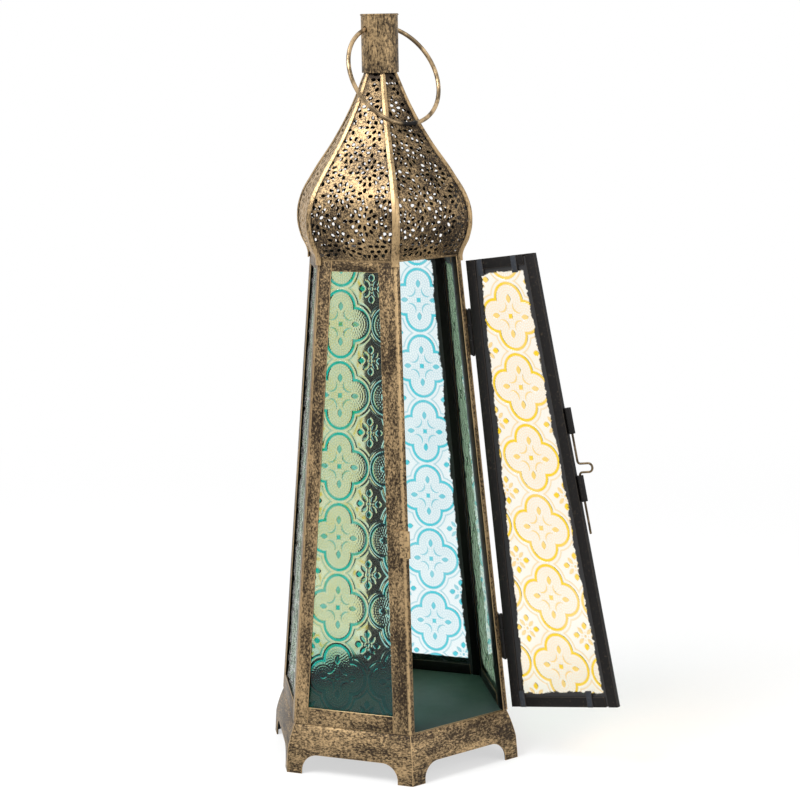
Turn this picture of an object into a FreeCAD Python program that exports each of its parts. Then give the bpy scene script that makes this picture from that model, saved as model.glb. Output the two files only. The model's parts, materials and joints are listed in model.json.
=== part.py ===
import FreeCAD, Part
import math
import os

# Six-sided tapered candle lantern: flared skirt on six feet, five fixed coloured
# panes, one hinged door, a pierced onion dome with ribs, a collar and a ring.
# Own frame: +Z up, origin on the standing plane at the centre of the six feet.

os.makedirs("parts", exist_ok=True)

# ---------------------------------------------------------------- dimensions
SIDES = 6
CLEARANCE = 0.3
RUNNING_FIT = 0.08
SHEET = 0.9
THIN_SHEET = 0.7

# skirt and floor
BASE_HEIGHT = 25.0
SKIRT_FLARE = 5.3
SKIRT_LEAN = 0.9
SKIRT_LEDGE = 0.7
SHOULDER_HEIGHT = 11.5
SHOULDER_BULGE = 0.45
ARCH_HEIGHT = 10.3
ARCH_HALF_WIDTH = 26.3
ARCH_CORNER = 8.6
FLOOR_THICKNESS = 1.0
FLOOR_LIP = 7.0

# tapered body: corner radius where it stands on the base and where the dome sits
BODY_FOOT_RADIUS = 63.9
BODY_HEAD_RADIUS = 41.4
BODY_HEIGHT = 234.6
POST_LEG = 7.4
DOOR_POST_LEG = 9.2
JAMB_LEG = 2.8
SEAM_HALF_WIDTH = 0.6
SEAM_DEPTH = 0.8
PANE_THICKNESS = 2.2
PANE_EDGE = 3.0
LIP_LENGTH = 3.0
BOTTOM_RAIL = 8.6
TOP_RAIL = 5.3
TOP_LIP_DROP = 1.0

# crown plate and dome
# dome outline: share of its height and corner radius, from the crown plate to the collar
CROWN_THICKNESS = 0.9
CROWN_OVERHANG = 0.3
CROWN_RIM = 7.0
DOME_HEIGHT = 91.9
DOME_OUTLINE = ((0.0, 42.0), (0.092, 45.8), (0.19, 47.4), (0.299, 45.6),
                (0.441, 38.0), (0.626, 25.6), (0.8, 16.0), (1.0, 7.9))
PANEL_THICKNESS = 0.8
DOME_FLATS = 10
RIB_PROUD = 0.7
RIB_FOOT_WIDTH = 4.1
RIB_HEAD_WIDTH = 2.4

# pierced rosettes: one flower of slots per cell, rows counted from the dome's edge
ROSETTE_PITCH = 18.4
ROSETTE_RADIUS = 5.2
ROSETTE_SLOTS = 6
SLOT_LENGTH = 4.0
SLOT_WIDTH = 2.2
PIERCED_MARGIN = 3.2

# collar and ring
COLLAR_RADIUS = 9.3
COLLAR_WALL = 0.8
COLLAR_LENGTH = 29.1
COLLAR_LAP = 1.5
RING_HOLE_DROP = 7.6
RING_HOLE_RADIUS = 1.6
RING_RADIUS = 26.7
RING_WIRE = 1.1
WIRE_FLATS = 6
RING_LEAN = 26.2

# door
DOOR_ANGLE = 110.5
DOOR_SILL_GAP = 2.0
DOOR_HEAD_GAP = 2.6
DOOR_HINGE_INSET = 0.9
DOOR_FREE_INSET = 1.9
DOOR_STANDOFF = 0.3
DOOR_THICKNESS = 3.0
DOOR_STRIP = 6.5
DOOR_LIP = 5.2
TAB_WIDTH = 3.2
TAB_LENGTH = 8.6
TAB_SPREAD = (-7.4, 11.9)
LOWER_TAB_SPREAD = (-14.8, 23.8)

# hinges
HINGE_OUT = 1.65
HINGE_BESIDE = 0.7
KNUCKLE_RADIUS = 1.35
HINGE_PIN = 0.7
HINGE_LENGTH = 23.0
HINGE_RISE = 27.5
HINGE_DROP = 27.1
KNUCKLE_LENGTH = 7.6
LEAF_WIDTH = 6.2
LEAF = 0.8
PIN_END = 0.6

# latch
BOLT_OUT = 2.2
BOLT_BESIDE = 0.1
BOLT_WIRE = 0.6
BOLT_TRAVEL = 13.2
BOLT_SHY = 2.2
BOLT_GRIP = 12.0
LOOP_HEIGHT = 4.4
LOOP_REACH = 7.6
LOOP_BEND = 1.5
LOOP_GAP = 1.0
LIFT_GAP = 1.4
SLEEVE_RADIUS = 1.6
SLEEVE_LENGTH = 13.0
LATCH_RISE = 107.0
CATCH_GAP = 4.5
CATCH_LENGTH = 13.4
CATCH_BORE = 0.95
CATCH_PLATE = 7.0
SLEEVE_SETBACK = 1.0
OVERRUN = 5.0

STEP = 360.0 / SIDES
APOTHEM = math.cos(math.pi / SIDES)
HALF_SIDE = math.sin(math.pi / SIDES)
BODY_TOP = BASE_HEIGHT + BODY_HEIGHT
DOME_FOOT = BODY_TOP + CROWN_THICKNESS
COLLAR_BOTTOM = DOME_FOOT + DOME_HEIGHT - COLLAR_LAP
COLLAR_TOP = COLLAR_BOTTOM + COLLAR_LENGTH
RING_HOLE_HEIGHT = COLLAR_TOP - RING_HOLE_DROP
DOME_RADII = [(DOME_FOOT + share * DOME_HEIGHT, radius) for share, radius in DOME_OUTLINE]
FOOT_RADIUS = BODY_FOOT_RADIUS + SKIRT_FLARE
SKIRT_TOP_RADIUS = BODY_FOOT_RADIUS - SKIRT_LEDGE
DOOR_BOTTOM = BASE_HEIGHT + DOOR_SILL_GAP
DOOR_TOP = BODY_TOP - DOOR_HEAD_GAP
HINGE_BOTTOMS = (BASE_HEIGHT + HINGE_RISE, BODY_TOP - HINGE_DROP - HINGE_LENGTH)
LOWER_SLEEVE = BASE_HEIGHT + LATCH_RISE
LOOP_BOTTOM = LOWER_SLEEVE + SLEEVE_LENGTH + LOOP_GAP + BOLT_WIRE
LOOP_TOP = LOOP_BOTTOM + LOOP_HEIGHT
UPPER_SLEEVE = LOOP_TOP + BOLT_WIRE + BOLT_TRAVEL + LIFT_GAP
BOLT_TOP = UPPER_SLEEVE + SLEEVE_LENGTH - BOLT_SHY
CATCH_TOP = LOWER_SLEEVE - CATCH_GAP
CATCH_BOTTOM = CATCH_TOP - CATCH_LENGTH
BOLT_END = CATCH_TOP - BOLT_GRIP
UP = FreeCAD.Vector(0, 0, 1)
DOOR_FACE = -90.0
HINGE_CORNER = DOOR_FACE + STEP / 2
LATCH_CORNER = DOOR_FACE - STEP / 2
GLAZED_FACES = [DOOR_FACE - STEP * (k + 1) for k in range(SIDES - 1)]
NEAR, FAR = -1, 1


# ---------------------------------------------------------------- helpers
def polar(angle):
    turn = math.radians(angle)
    return FreeCAD.Vector(math.cos(turn), math.sin(turn), 0)


def body_radius(z):
    share = (z - BASE_HEIGHT) / (BODY_TOP - BASE_HEIGHT)
    return BODY_FOOT_RADIUS + share * (BODY_HEAD_RADIUS - BODY_FOOT_RADIUS)


def solid_of(corners, quads):
    """A closed solid of plane faces from numbered corners."""
    faces = []
    for quad in quads:
        loop = [corners[i] for i in quad]
        faces.append(Part.Face(Part.makePolygon(loop + loop[:1])))
    solid = Part.Solid(Part.Shell(faces))
    if solid.Volume < 0:
        solid.reverse()
    return solid


def face_point(face, end, inset, depth, z):
    """A point on a body face: inset from its near or far corner line, depth outward."""
    radius = body_radius(z)
    along = end * (radius * HALF_SIDE - inset)
    point = polar(face) * (radius * APOTHEM + depth) + polar(face + 90) * along
    return point + UP * z


def slab(face, start, stop, inner, outer, bottom, top):
    """A strip lying on a body face; start and stop are (end, inset) pairs."""
    corners = []
    for z in (bottom, top):
        for depth in (inner, outer):
            for end, inset in (start, stop):
                corners.append(face_point(face, end, inset, depth, z))
    quads = ((0, 1, 3, 2), (4, 5, 7, 6), (0, 1, 5, 4), (2, 3, 7, 6), (0, 2, 6, 4), (1, 3, 7, 5))
    return solid_of(corners, quads)


def between(face, inset_near, inset_far, inner, outer, bottom, top):
    """A strip that runs across a whole face between its two corner lines."""
    return slab(face, (NEAR, inset_near), (FAR, inset_far), inner, outer, bottom, top)


def corner_prism(corner, outline, bottom, top):
    """Extrude a plan outline, given as (side, inset, depth), up a corner line."""
    points = []
    for side, inset, depth in outline:
        points.append(face_point(corner + side * STEP / 2, -side, inset, -depth, bottom))
    rise = polar(corner) * (body_radius(top) - body_radius(bottom)) + UP * (top - bottom)
    return Part.Face(Part.makePolygon(points + points[:1])).extrude(rise)


def mitre(depth):
    """Inset of the point on the corner's bisector at a given depth."""
    return depth / math.tan(math.radians(STEP))


def fuse(pieces):
    first = pieces[0]
    return first.multiFuse(pieces[1:]).removeSplitter() if len(pieces) > 1 else first


def rod(start, stop, radius):
    return Part.makeCylinder(radius, start.distanceToPoint(stop), start, stop - start)


def wire_section(centre, first, second, radius):
    """A many-sided section stands for a round wire, which keeps its bends light."""
    points = []
    for flat in range(WIRE_FLATS + 1):
        turn = 2 * math.pi * flat / WIRE_FLATS
        points.append(centre + first * radius * math.cos(turn) + second * radius * math.sin(turn))
    return Part.Face(Part.makePolygon(points))


def hexagon(radius, z, thickness):
    points = [polar(corner * STEP) * radius + UP * z for corner in range(SIDES + 1)]
    return Part.Face(Part.makePolygon(points)).extrude(UP * thickness)


def save(name, shape):
    shape.exportStep("parts/" + name + ".step")


# ---------------------------------------------------------------- curved gores
def gore_point(z, radius, inset):
    """Where a corner radius puts the middle of a gore, in the radial plane."""
    return FreeCAD.Vector(radius * APOTHEM - inset, 0, z)


def dome_curve(inset):
    curve = Part.BSplineCurve()
    curve.interpolate([gore_point(z, radius, inset) for z, radius in DOME_RADII])
    return curve


def dome_folds(inset):
    """The dome's curve as the sheet is bent: narrow flats between fold lines."""
    curve = dome_curve(inset)
    return Part.makePolygon(curve.discretize(Number=DOME_FLATS + 1)).Edges


def gore(outer, inner, face):
    """A profile between two edge chains, run across one face and mitred at its corners."""
    low_end = Part.makeLine(outer[0].Vertexes[0].Point, inner[0].Vertexes[0].Point)
    high_end = Part.makeLine(outer[-1].Vertexes[-1].Point, inner[-1].Vertexes[-1].Point)
    profile = Part.Face(Part.Wire(Part.__sortEdges__(outer + inner + [low_end, high_end])))
    sheet = profile.extrude(FreeCAD.Vector(0, 2 * FOOT_RADIUS, 0))
    sheet.translate(FreeCAD.Vector(0, -FOOT_RADIUS, 0))
    tips = [FreeCAD.Vector(0, 0, 0)]
    for side in (NEAR, FAR):
        tips.append(polar(side * STEP / 2) * 2 * FOOT_RADIUS)
    sheet = sheet.common(Part.Face(Part.makePolygon(tips + tips[:1])).extrude(UP * COLLAR_TOP))
    sheet.rotate(FreeCAD.Vector(0, 0, 0), UP, face)
    return sheet


# ---------------------------------------------------------------- skirt and floor
def skirt_profile(inset):
    """A straight lower wall and a shoulder that curves in to the floor."""
    shoulder = FOOT_RADIUS - SKIRT_LEAN
    foot = gore_point(0, FOOT_RADIUS, inset)
    knee = gore_point(SHOULDER_HEIGHT, shoulder, inset)
    mid_radius = (shoulder + SKIRT_TOP_RADIUS) / 2 + SHOULDER_BULGE
    mid = gore_point((SHOULDER_HEIGHT + BASE_HEIGHT) / 2, mid_radius, inset)
    top = gore_point(BASE_HEIGHT, SKIRT_TOP_RADIUS, inset)
    return [Part.makeLine(foot, knee), Part.Arc(knee, mid, top).toShape()]


def skirt_gore(face):
    wall = gore(skirt_profile(0), skirt_profile(SHEET), 0)
    half, corner = ARCH_HALF_WIDTH, ARCH_CORNER
    crown = FreeCAD.Vector(0, half - corner, ARCH_HEIGHT)
    side = FreeCAD.Vector(0, half, ARCH_HEIGHT - corner)
    shy = corner * (1 - math.sqrt(0.5))
    middle = FreeCAD.Vector(0, half - shy, ARCH_HEIGHT - shy)

    def flip(point):
        return FreeCAD.Vector(0, -point.y, point.z)

    foot = FreeCAD.Vector(0, half, -1)
    edges = [
        Part.makeLine(foot, side),
        Part.Arc(side, middle, crown).toShape(),
        Part.makeLine(crown, flip(crown)),
        Part.Arc(flip(crown), flip(middle), flip(side)).toShape(),
        Part.makeLine(flip(side), flip(foot)),
        Part.makeLine(flip(foot), foot),
    ]
    arch = Part.Face(Part.Wire(edges)).extrude(FreeCAD.Vector(2 * FOOT_RADIUS, 0, 0))
    wall = wall.cut(arch)
    wall.rotate(FreeCAD.Vector(0, 0, 0), UP, face)
    return wall


floor_radius = SKIRT_TOP_RADIUS - (SHEET + CLEARANCE) / APOTHEM
lip_top = BASE_HEIGHT - FLOOR_THICKNESS
lip = hexagon(SKIRT_TOP_RADIUS - SHEET / 2, lip_top - SHEET, SHEET)
lip = lip.cut(hexagon(floor_radius - FLOOR_LIP, lip_top - 2 * SHEET, 3 * SHEET))
skirt = fuse([skirt_gore(DOOR_FACE + STEP * k) for k in range(SIDES)] + [lip])
save("skirt", skirt)
save("floor_plate", hexagon(floor_radius, lip_top, FLOOR_THICKNESS))


# ---------------------------------------------------------------- posts, rails and panes
PANE_BACK = SHEET + PANE_THICKNESS
LIP_BACK = PANE_BACK + THIN_SHEET
DOOR_PANE_EDGE = PANE_EDGE + DOOR_POST_LEG - POST_LEG


def glazed_side(side, leg, edge):
    """Half of a post outline: outer leg, slot for the pane, inner lip."""
    return [(side, leg, 0), (side, leg, SHEET), (side, edge, SHEET), (side, edge, PANE_BACK),
            (side, edge + LIP_LENGTH, PANE_BACK), (side, edge + LIP_LENGTH, LIP_BACK)]


def glazed_post(corner):
    seam = SEAM_DEPTH * math.sin(math.radians(STEP))
    outline = [(NEAR, mitre(seam), seam), (FAR, SEAM_HALF_WIDTH, 0)]
    outline += glazed_side(FAR, POST_LEG, PANE_EDGE)
    outline += [(FAR, mitre(LIP_BACK), LIP_BACK)]
    outline += glazed_side(NEAR, POST_LEG, PANE_EDGE)[::-1]
    outline += [(NEAR, SEAM_HALF_WIDTH, 0)]
    return corner_prism(corner, outline, BASE_HEIGHT, BODY_TOP)


def door_post(corner, glazed):
    outline = [(glazed, 0, 0)]
    outline += glazed_side(glazed, DOOR_POST_LEG, DOOR_PANE_EDGE)
    outline += [(glazed, mitre(LIP_BACK), LIP_BACK), (-glazed, JAMB_LEG, SHEET), (-glazed, JAMB_LEG, 0)]
    return corner_prism(corner, outline, BASE_HEIGHT, BODY_TOP)


def edge_insets(face):
    """Post leg and pane slot at the near and far end of a glazed face."""
    legs, edges = [], []
    for end in (NEAR, FAR):
        corner = face + end * STEP / 2
        at_door = min(abs((corner - c + 180) % 360 - 180) for c in (HINGE_CORNER, LATCH_CORNER)) < 1
        legs.append(DOOR_POST_LEG if at_door else POST_LEG)
        edges.append(DOOR_PANE_EDGE if at_door else PANE_EDGE)
    return legs, edges


def rail(face, low, high, web_low, web_high, lip_low, lip_high):
    legs, edges = edge_insets(face)
    return fuse([
        between(face, legs[0], legs[1], -SHEET, 0, low, high),
        between(face, legs[0], legs[1], -PANE_BACK, -SHEET, web_low, web_high),
        between(face, legs[0], legs[1], -LIP_BACK, -PANE_BACK, lip_low, lip_high),
    ])


save("post_front", door_post(LATCH_CORNER, NEAR))
save("post_right", door_post(HINGE_CORNER, FAR))
for index, name in enumerate(("post_left", "post_far_left", "post_back", "post_far_right")):
    save(name, glazed_post(LATCH_CORNER - STEP * (index + 1)))

FACE_NAMES = ("front_left", "far_left", "back_left", "back_right", "right")
for name, face in zip(FACE_NAMES, GLAZED_FACES):
    sill = BASE_HEIGHT + SHEET
    head = BODY_TOP - SHEET
    save("rail_bottom_" + name, rail(face, BASE_HEIGHT, BASE_HEIGHT + BOTTOM_RAIL, BASE_HEIGHT, sill,
                                     BASE_HEIGHT, BASE_HEIGHT + BOTTOM_RAIL - LIP_LENGTH))
    save("rail_top_" + name, rail(face, BODY_TOP - TOP_RAIL, BODY_TOP, head, BODY_TOP,
                                  BODY_TOP - TOP_RAIL + TOP_LIP_DROP, BODY_TOP))
    legs, edges = edge_insets(face)
    save("pane_" + name, between(face, edges[0] + CLEARANCE, edges[1] + CLEARANCE,
                                 -PANE_BACK, -SHEET, sill, head - CLEARANCE))


# ---------------------------------------------------------------- crown, dome and ribs
crown_radius = BODY_HEAD_RADIUS + CROWN_OVERHANG
crown = hexagon(crown_radius, BODY_TOP, CROWN_THICKNESS)
save("crown_plate", crown.cut(hexagon(crown_radius - CROWN_RIM, 0, COLLAR_TOP)))

panel_curve = dome_curve(PANEL_THICKNESS / 2)


def rosette_cells():
    """Arc position along the gore and sideways offset of each flower of slots."""
    length = panel_curve.length()
    rows = int((length - 2 * PIERCED_MARGIN) // (ROSETTE_PITCH * APOTHEM))
    for row in range(rows):
        reach = PIERCED_MARGIN + ROSETTE_RADIUS + row * ROSETTE_PITCH * APOTHEM
        here = panel_curve.value(panel_curve.parameterAtDistance(reach))
        half = (here.x + PANEL_THICKNESS / 2) * math.tan(math.pi / SIDES) - PIERCED_MARGIN
        count = int((2 * half - 2 * ROSETTE_RADIUS) // ROSETTE_PITCH) + 1
        for place in range(max(count, 1)):
            yield reach, (place - (max(count, 1) - 1) / 2) * ROSETTE_PITCH


def slot_cutter(reach, across, turn):
    """A lozenge slot through the panel, square to the sheet."""
    at = panel_curve.parameterAtDistance(reach)
    centre = panel_curve.value(at)
    rise = panel_curve.tangent(at)[0]
    side = FreeCAD.Vector(0, 1, 0)
    out = side.cross(rise)
    long_way = rise * math.cos(turn) + side * math.sin(turn)
    short_way = out.cross(long_way)
    points = []
    for far, wide in ((1, 0), (0, 1), (-1, 0), (0, -1)):
        points.append(long_way * far * SLOT_LENGTH / 2 + short_way * wide * SLOT_WIDTH / 2)
    start = centre + side * across - out * PANEL_THICKNESS * 1.5
    outline = Part.makePolygon([start + point for point in points + points[:1]])
    return Part.Face(outline).extrude(out * PANEL_THICKNESS * 3)


def pierced_panel():
    cutters = []
    length = panel_curve.length()
    for reach, across in rosette_cells():
        for slot in range(ROSETTE_SLOTS):
            turn = math.radians(360.0 / ROSETTE_SLOTS * slot)
            s = reach + math.cos(turn) * ROSETTE_RADIUS
            t = across + math.sin(turn) * ROSETTE_RADIUS
            if not PIERCED_MARGIN < s < length - PIERCED_MARGIN:
                continue
            here = panel_curve.value(panel_curve.parameterAtDistance(s))
            if abs(t) < here.x * math.tan(math.pi / SIDES) - PIERCED_MARGIN:
                cutters.append(slot_cutter(s, t, turn))
    sheet = gore(dome_folds(0), dome_folds(PANEL_THICKNESS), 0)
    return sheet.cut(cutters)


def rib(dome_skin):
    """A strip folded over one corner of the dome, with a tab that hangs over the post."""
    tab_low = DOOR_TOP + CLEARANCE
    outer = dome_folds(-RIB_PROUD)
    foot = outer[0].Vertexes[0].Point
    drop = Part.makeLine(FreeCAD.Vector(foot.x, 0, tab_low), foot)
    axis = Part.makeLine(UP * tab_low, UP * DOME_RADII[-1][0])
    flanks = [gore([drop] + outer, [axis], side * STEP / 2) for side in (NEAR, FAR)]
    post_head = hexagon(crown_radius + CLEARANCE / 2, tab_low, DOME_FOOT - tab_low)
    widths = ((tab_low, RIB_FOOT_WIDTH), (COLLAR_BOTTOM, RIB_HEAD_WIDTH))
    outline = [FreeCAD.Vector(0, width / 2, z) for z, width in widths]
    outline += [FreeCAD.Vector(0, -width / 2, z) for z, width in widths[::-1]]
    taper = Part.Face(Part.makePolygon(outline + outline[:1])).extrude(FreeCAD.Vector(2 * FOOT_RADIUS, 0, 0))
    return fuse(flanks).common(taper).cut(dome_skin + [post_head])


panel = pierced_panel()
core = Part.makeLine(UP * DOME_RADII[0][0], UP * DOME_RADII[-1][0])
skin = [gore(dome_folds(0), [core], side * STEP / 2) for side in (NEAR, FAR)]
first_rib = rib(skin)
for index in range(SIDES):
    face = DOOR_FACE - STEP * index
    copy = panel.copy()
    copy.rotate(FreeCAD.Vector(0, 0, 0), UP, face)
    save("dome_panel_" + str(index + 1), copy)
    copy = first_rib.copy()
    copy.rotate(FreeCAD.Vector(0, 0, 0), UP, face + STEP / 2)
    save("rib_" + str(index + 1), copy)


# ---------------------------------------------------------------- collar and ring
collar = Part.makeCylinder(COLLAR_RADIUS, COLLAR_LENGTH, UP * COLLAR_BOTTOM)
collar = collar.cut(Part.makeCylinder(COLLAR_RADIUS - COLLAR_WALL, COLLAR_LENGTH, UP * COLLAR_BOTTOM))
ring_axis = UP * RING_HOLE_HEIGHT
sideways = FreeCAD.Vector(2 * COLLAR_RADIUS, 0, 0)
collar = collar.cut(rod(ring_axis - sideways, ring_axis + sideways, RING_HOLE_RADIUS))
save("collar", collar)

ring_drop = math.sqrt(RING_RADIUS ** 2 - (COLLAR_RADIUS - COLLAR_WALL / 2) ** 2)
x_axis, y_axis = FreeCAD.Vector(1, 0, 0), FreeCAD.Vector(0, 1, 0)
section = wire_section(x_axis * RING_RADIUS, x_axis, y_axis, RING_WIRE)
ring = section.revolve(FreeCAD.Vector(0, 0, 0), y_axis, 360)
ring.translate(ring_axis - UP * ring_drop)
ring.rotate(ring_axis, FreeCAD.Vector(1, 0, 0), -RING_LEAN)
save("ring", ring)


# ---------------------------------------------------------------- door frame, drawn shut and then opened
def on_door(end, inset, depth, z):
    return face_point(DOOR_FACE, end, inset, depth, z)


hinge_low = on_door(FAR, -HINGE_BESIDE, HINGE_OUT, BASE_HEIGHT)
hinge_high = on_door(FAR, -HINGE_BESIDE, HINGE_OUT, BODY_TOP)
hinge_axis = (hinge_high - hinge_low).normalize()


def along_hinge(z):
    return hinge_low + (hinge_high - hinge_low) * ((z - BASE_HEIGHT) / (BODY_TOP - BASE_HEIGHT))


def along_bolt(z):
    return on_door(NEAR, -BOLT_BESIDE, BOLT_OUT, z)


def opened(shape):
    shape.rotate(hinge_low, hinge_axis, DOOR_ANGLE)
    return shape


back = DOOR_STANDOFF
glass_back = back + THIN_SHEET
front = back + DOOR_THICKNESS
glass_front = front - THIN_SHEET


# front strip, back lip and web of the folded channel: depth range and width from its outer edge
CHANNEL = ((glass_front, front, DOOR_STRIP), (back, glass_back, DOOR_LIP),
           (glass_back, glass_front, THIN_SHEET))


def stile(end, inset):
    """A folded channel up one side of the door."""
    return fuse([slab(DOOR_FACE, (end, inset), (end, inset + width), inner, outer, DOOR_BOTTOM, DOOR_TOP)
                 for inner, outer, width in CHANNEL])


def door_rail(edge, inward):
    """The same channel between the stiles, folded inward from the door's top or bottom edge."""
    free, hinged = DOOR_FREE_INSET + DOOR_STRIP, DOOR_HINGE_INSET + DOOR_STRIP
    return fuse([between(DOOR_FACE, free, hinged, inner, outer, min(edge, edge + inward * width),
                         max(edge, edge + inward * width)) for inner, outer, width in CHANNEL])


save("door_stile_free", opened(stile(NEAR, DOOR_FREE_INSET)))
save("door_stile_hinge", opened(stile(FAR, DOOR_HINGE_INSET)))
save("door_rail_top", opened(door_rail(DOOR_TOP, -1)))
save("door_rail_bottom", opened(door_rail(DOOR_BOTTOM, 1)))
save("door_pane", opened(slab(DOOR_FACE, (NEAR, DOOR_FREE_INSET + THIN_SHEET + CLEARANCE),
                              (FAR, DOOR_HINGE_INSET + THIN_SHEET + CLEARANCE), glass_back, glass_front,
                              DOOR_BOTTOM + THIN_SHEET + CLEARANCE, DOOR_TOP - THIN_SHEET - CLEARANCE)))


def glass_tab(across, low, high):
    """A bent sheet tab that lies over the rail's lip and holds the pane."""
    near = polar(DOOR_FACE + 90) * (across - TAB_WIDTH / 2)
    points = []
    for depth, z in ((back, low), (back, high), (back - CLEARANCE * 2, high), (back - CLEARANCE * 2, low)):
        points.append(polar(DOOR_FACE) * (body_radius(z) * APOTHEM + depth) + near + UP * z)
    return Part.Face(Part.makePolygon(points + points[:1])).extrude(polar(DOOR_FACE + 90) * TAB_WIDTH)


for index, (upper, lower) in enumerate(zip(TAB_SPREAD, LOWER_TAB_SPREAD)):
    save("door_tab_top_" + str(index + 1), opened(glass_tab(upper, DOOR_TOP - TAB_LENGTH, DOOR_TOP)))
    save("door_tab_bottom_" + str(index + 1), opened(glass_tab(lower, DOOR_BOTTOM, DOOR_BOTTOM + TAB_LENGTH)))


# ---------------------------------------------------------------- hinges
def hinge(bottom):
    """Fixed leaf, door leaf and pin of one butt hinge."""
    top = bottom + HINGE_LENGTH
    mid_low, mid_high = bottom + KNUCKLE_LENGTH, top - KNUCKLE_LENGTH
    pin_hole = rod(along_hinge(bottom - OVERRUN), along_hinge(top + OVERRUN), HINGE_PIN)
    fixed_face = HINGE_CORNER + STEP / 2
    beyond = HINGE_OUT * math.sin(math.radians(STEP)) - HINGE_BESIDE * math.cos(math.radians(STEP))
    plate = slab(fixed_face, (NEAR, -beyond), (NEAR, LEAF_WIDTH), 0, LEAF, bottom, top)
    ends = fuse([rod(along_hinge(bottom), along_hinge(mid_low), KNUCKLE_RADIUS),
                 rod(along_hinge(mid_high), along_hinge(top), KNUCKLE_RADIUS)])
    gap = rod(along_hinge(mid_low), along_hinge(mid_high), KNUCKLE_RADIUS + CLEARANCE)
    fixed = fuse([plate.cut(gap), ends]).cut(pin_hole)
    low, high = mid_low + CLEARANCE, mid_high - CLEARANCE
    knuckle = rod(along_hinge(low), along_hinge(high), KNUCKLE_RADIUS)
    axis_inset = -HINGE_BESIDE
    strap = slab(DOOR_FACE, (FAR, axis_inset), (FAR, DOOR_HINGE_INSET), HINGE_OUT - LEAF / 2,
                 HINGE_OUT + LEAF / 2, low, high)
    edge = slab(DOOR_FACE, (FAR, DOOR_HINGE_INSET - LEAF / 2), (FAR, DOOR_HINGE_INSET),
                HINGE_OUT - LEAF / 2, front + LEAF, low, high)
    cover = slab(DOOR_FACE, (FAR, DOOR_HINGE_INSET), (FAR, LEAF_WIDTH), front, front + LEAF, bottom, top)
    bore = rod(along_hinge(bottom - OVERRUN), along_hinge(top + OVERRUN), HINGE_PIN + RUNNING_FIT)
    moving = fuse([knuckle, strap, edge, cover]).cut(bore)
    pin = rod(along_hinge(bottom - PIN_END), along_hinge(top + PIN_END), HINGE_PIN)
    return fixed, opened(moving), pin


for name, bottom in zip(("lower", "upper"), HINGE_BOTTOMS):
    fixed, moving, pin = hinge(bottom)
    save("hinge_leaf_fixed_" + name, fixed)
    save("hinge_leaf_door_" + name, moving)
    save("hinge_pin_" + name, pin)


# ---------------------------------------------------------------- latch
def sleeve(bottom):
    """A folded strip on the free stile, curled round the bolt."""
    top = bottom + SLEEVE_LENGTH
    curl = rod(along_bolt(bottom), along_bolt(top), SLEEVE_RADIUS)
    strap_end = (NEAR, DOOR_FREE_INSET + DOOR_STRIP - SLEEVE_SETBACK)
    strap = slab(DOOR_FACE, (NEAR, -BOLT_BESIDE), strap_end, front, front + THIN_SHEET, bottom, top)
    bore = rod(along_bolt(bottom - OVERRUN), along_bolt(top + OVERRUN), BOLT_WIRE + RUNNING_FIT)
    return opened(fuse([curl, strap]).cut(bore))


def catch():
    """The same fold on the front post, which takes the bolt's lower end."""
    face = LATCH_CORNER - STEP / 2
    beyond = BOLT_OUT * math.sin(math.radians(STEP)) - BOLT_BESIDE * math.cos(math.radians(STEP))
    curl = rod(along_bolt(CATCH_BOTTOM), along_bolt(CATCH_TOP), SLEEVE_RADIUS)
    strap = slab(face, (FAR, CATCH_PLATE), (FAR, -beyond), 0, THIN_SHEET, CATCH_BOTTOM, CATCH_TOP)
    bore = rod(along_bolt(CATCH_BOTTOM - OVERRUN), along_bolt(CATCH_TOP + OVERRUN), CATCH_BORE)
    return fuse([curl, strap]).cut(bore)


def bent_wire(points, radii, wire):
    """Straight runs of wire joined by bends of the given radii, all in one plane."""
    pieces = []
    last = points[0]
    across = (points[1] - points[0]).cross(points[2] - points[1]).normalize()
    for before, corner, after, radius in zip(points, points[1:], points[2:], radii):
        arrive = (corner - before).normalize()
        leave = (after - corner).normalize()
        bend = arrive.getAngle(leave)
        reach = radius * math.tan(bend / 2)
        first, second = corner - arrive * reach, corner + leave * reach
        centre = corner + (leave - arrive).normalize() * radius / math.cos(bend / 2)
        pieces.append(wire_section(last, across, arrive.cross(across), wire).extrude(first - last))
        section = wire_section(first, across, arrive.cross(across), wire)
        pieces.append(section.revolve(centre, arrive.cross(leave), math.degrees(bend)))
        last = second
    run = points[-1] - last
    square = FreeCAD.Vector(run).normalize().cross(across)
    pieces.append(wire_section(last, across, square, wire).extrude(run))
    return fuse(pieces)


def bolt():
    outward = polar(DOOR_FACE + 90) * -LOOP_REACH
    turn = (LOOP_TOP - LOOP_BOTTOM) / 2 - BOLT_WIRE / 10
    points = [along_bolt(BOLT_TOP), along_bolt(LOOP_TOP), along_bolt(LOOP_TOP) + outward,
              along_bolt(LOOP_BOTTOM) + outward, along_bolt(LOOP_BOTTOM), along_bolt(BOLT_END)]
    return opened(bent_wire(points, (LOOP_BEND, turn, turn, LOOP_BEND), BOLT_WIRE))


save("latch_sleeve_upper", sleeve(UPPER_SLEEVE))
save("latch_sleeve_lower", sleeve(LOWER_SLEEVE))
save("latch_catch", catch())
save("latch_bolt", bolt())
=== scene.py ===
import json
import math

import bmesh
import bpy
import numpy as np
from bpy.props import FloatProperty, FloatVectorProperty, PointerProperty
from mathutils import Matrix, Vector

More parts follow.
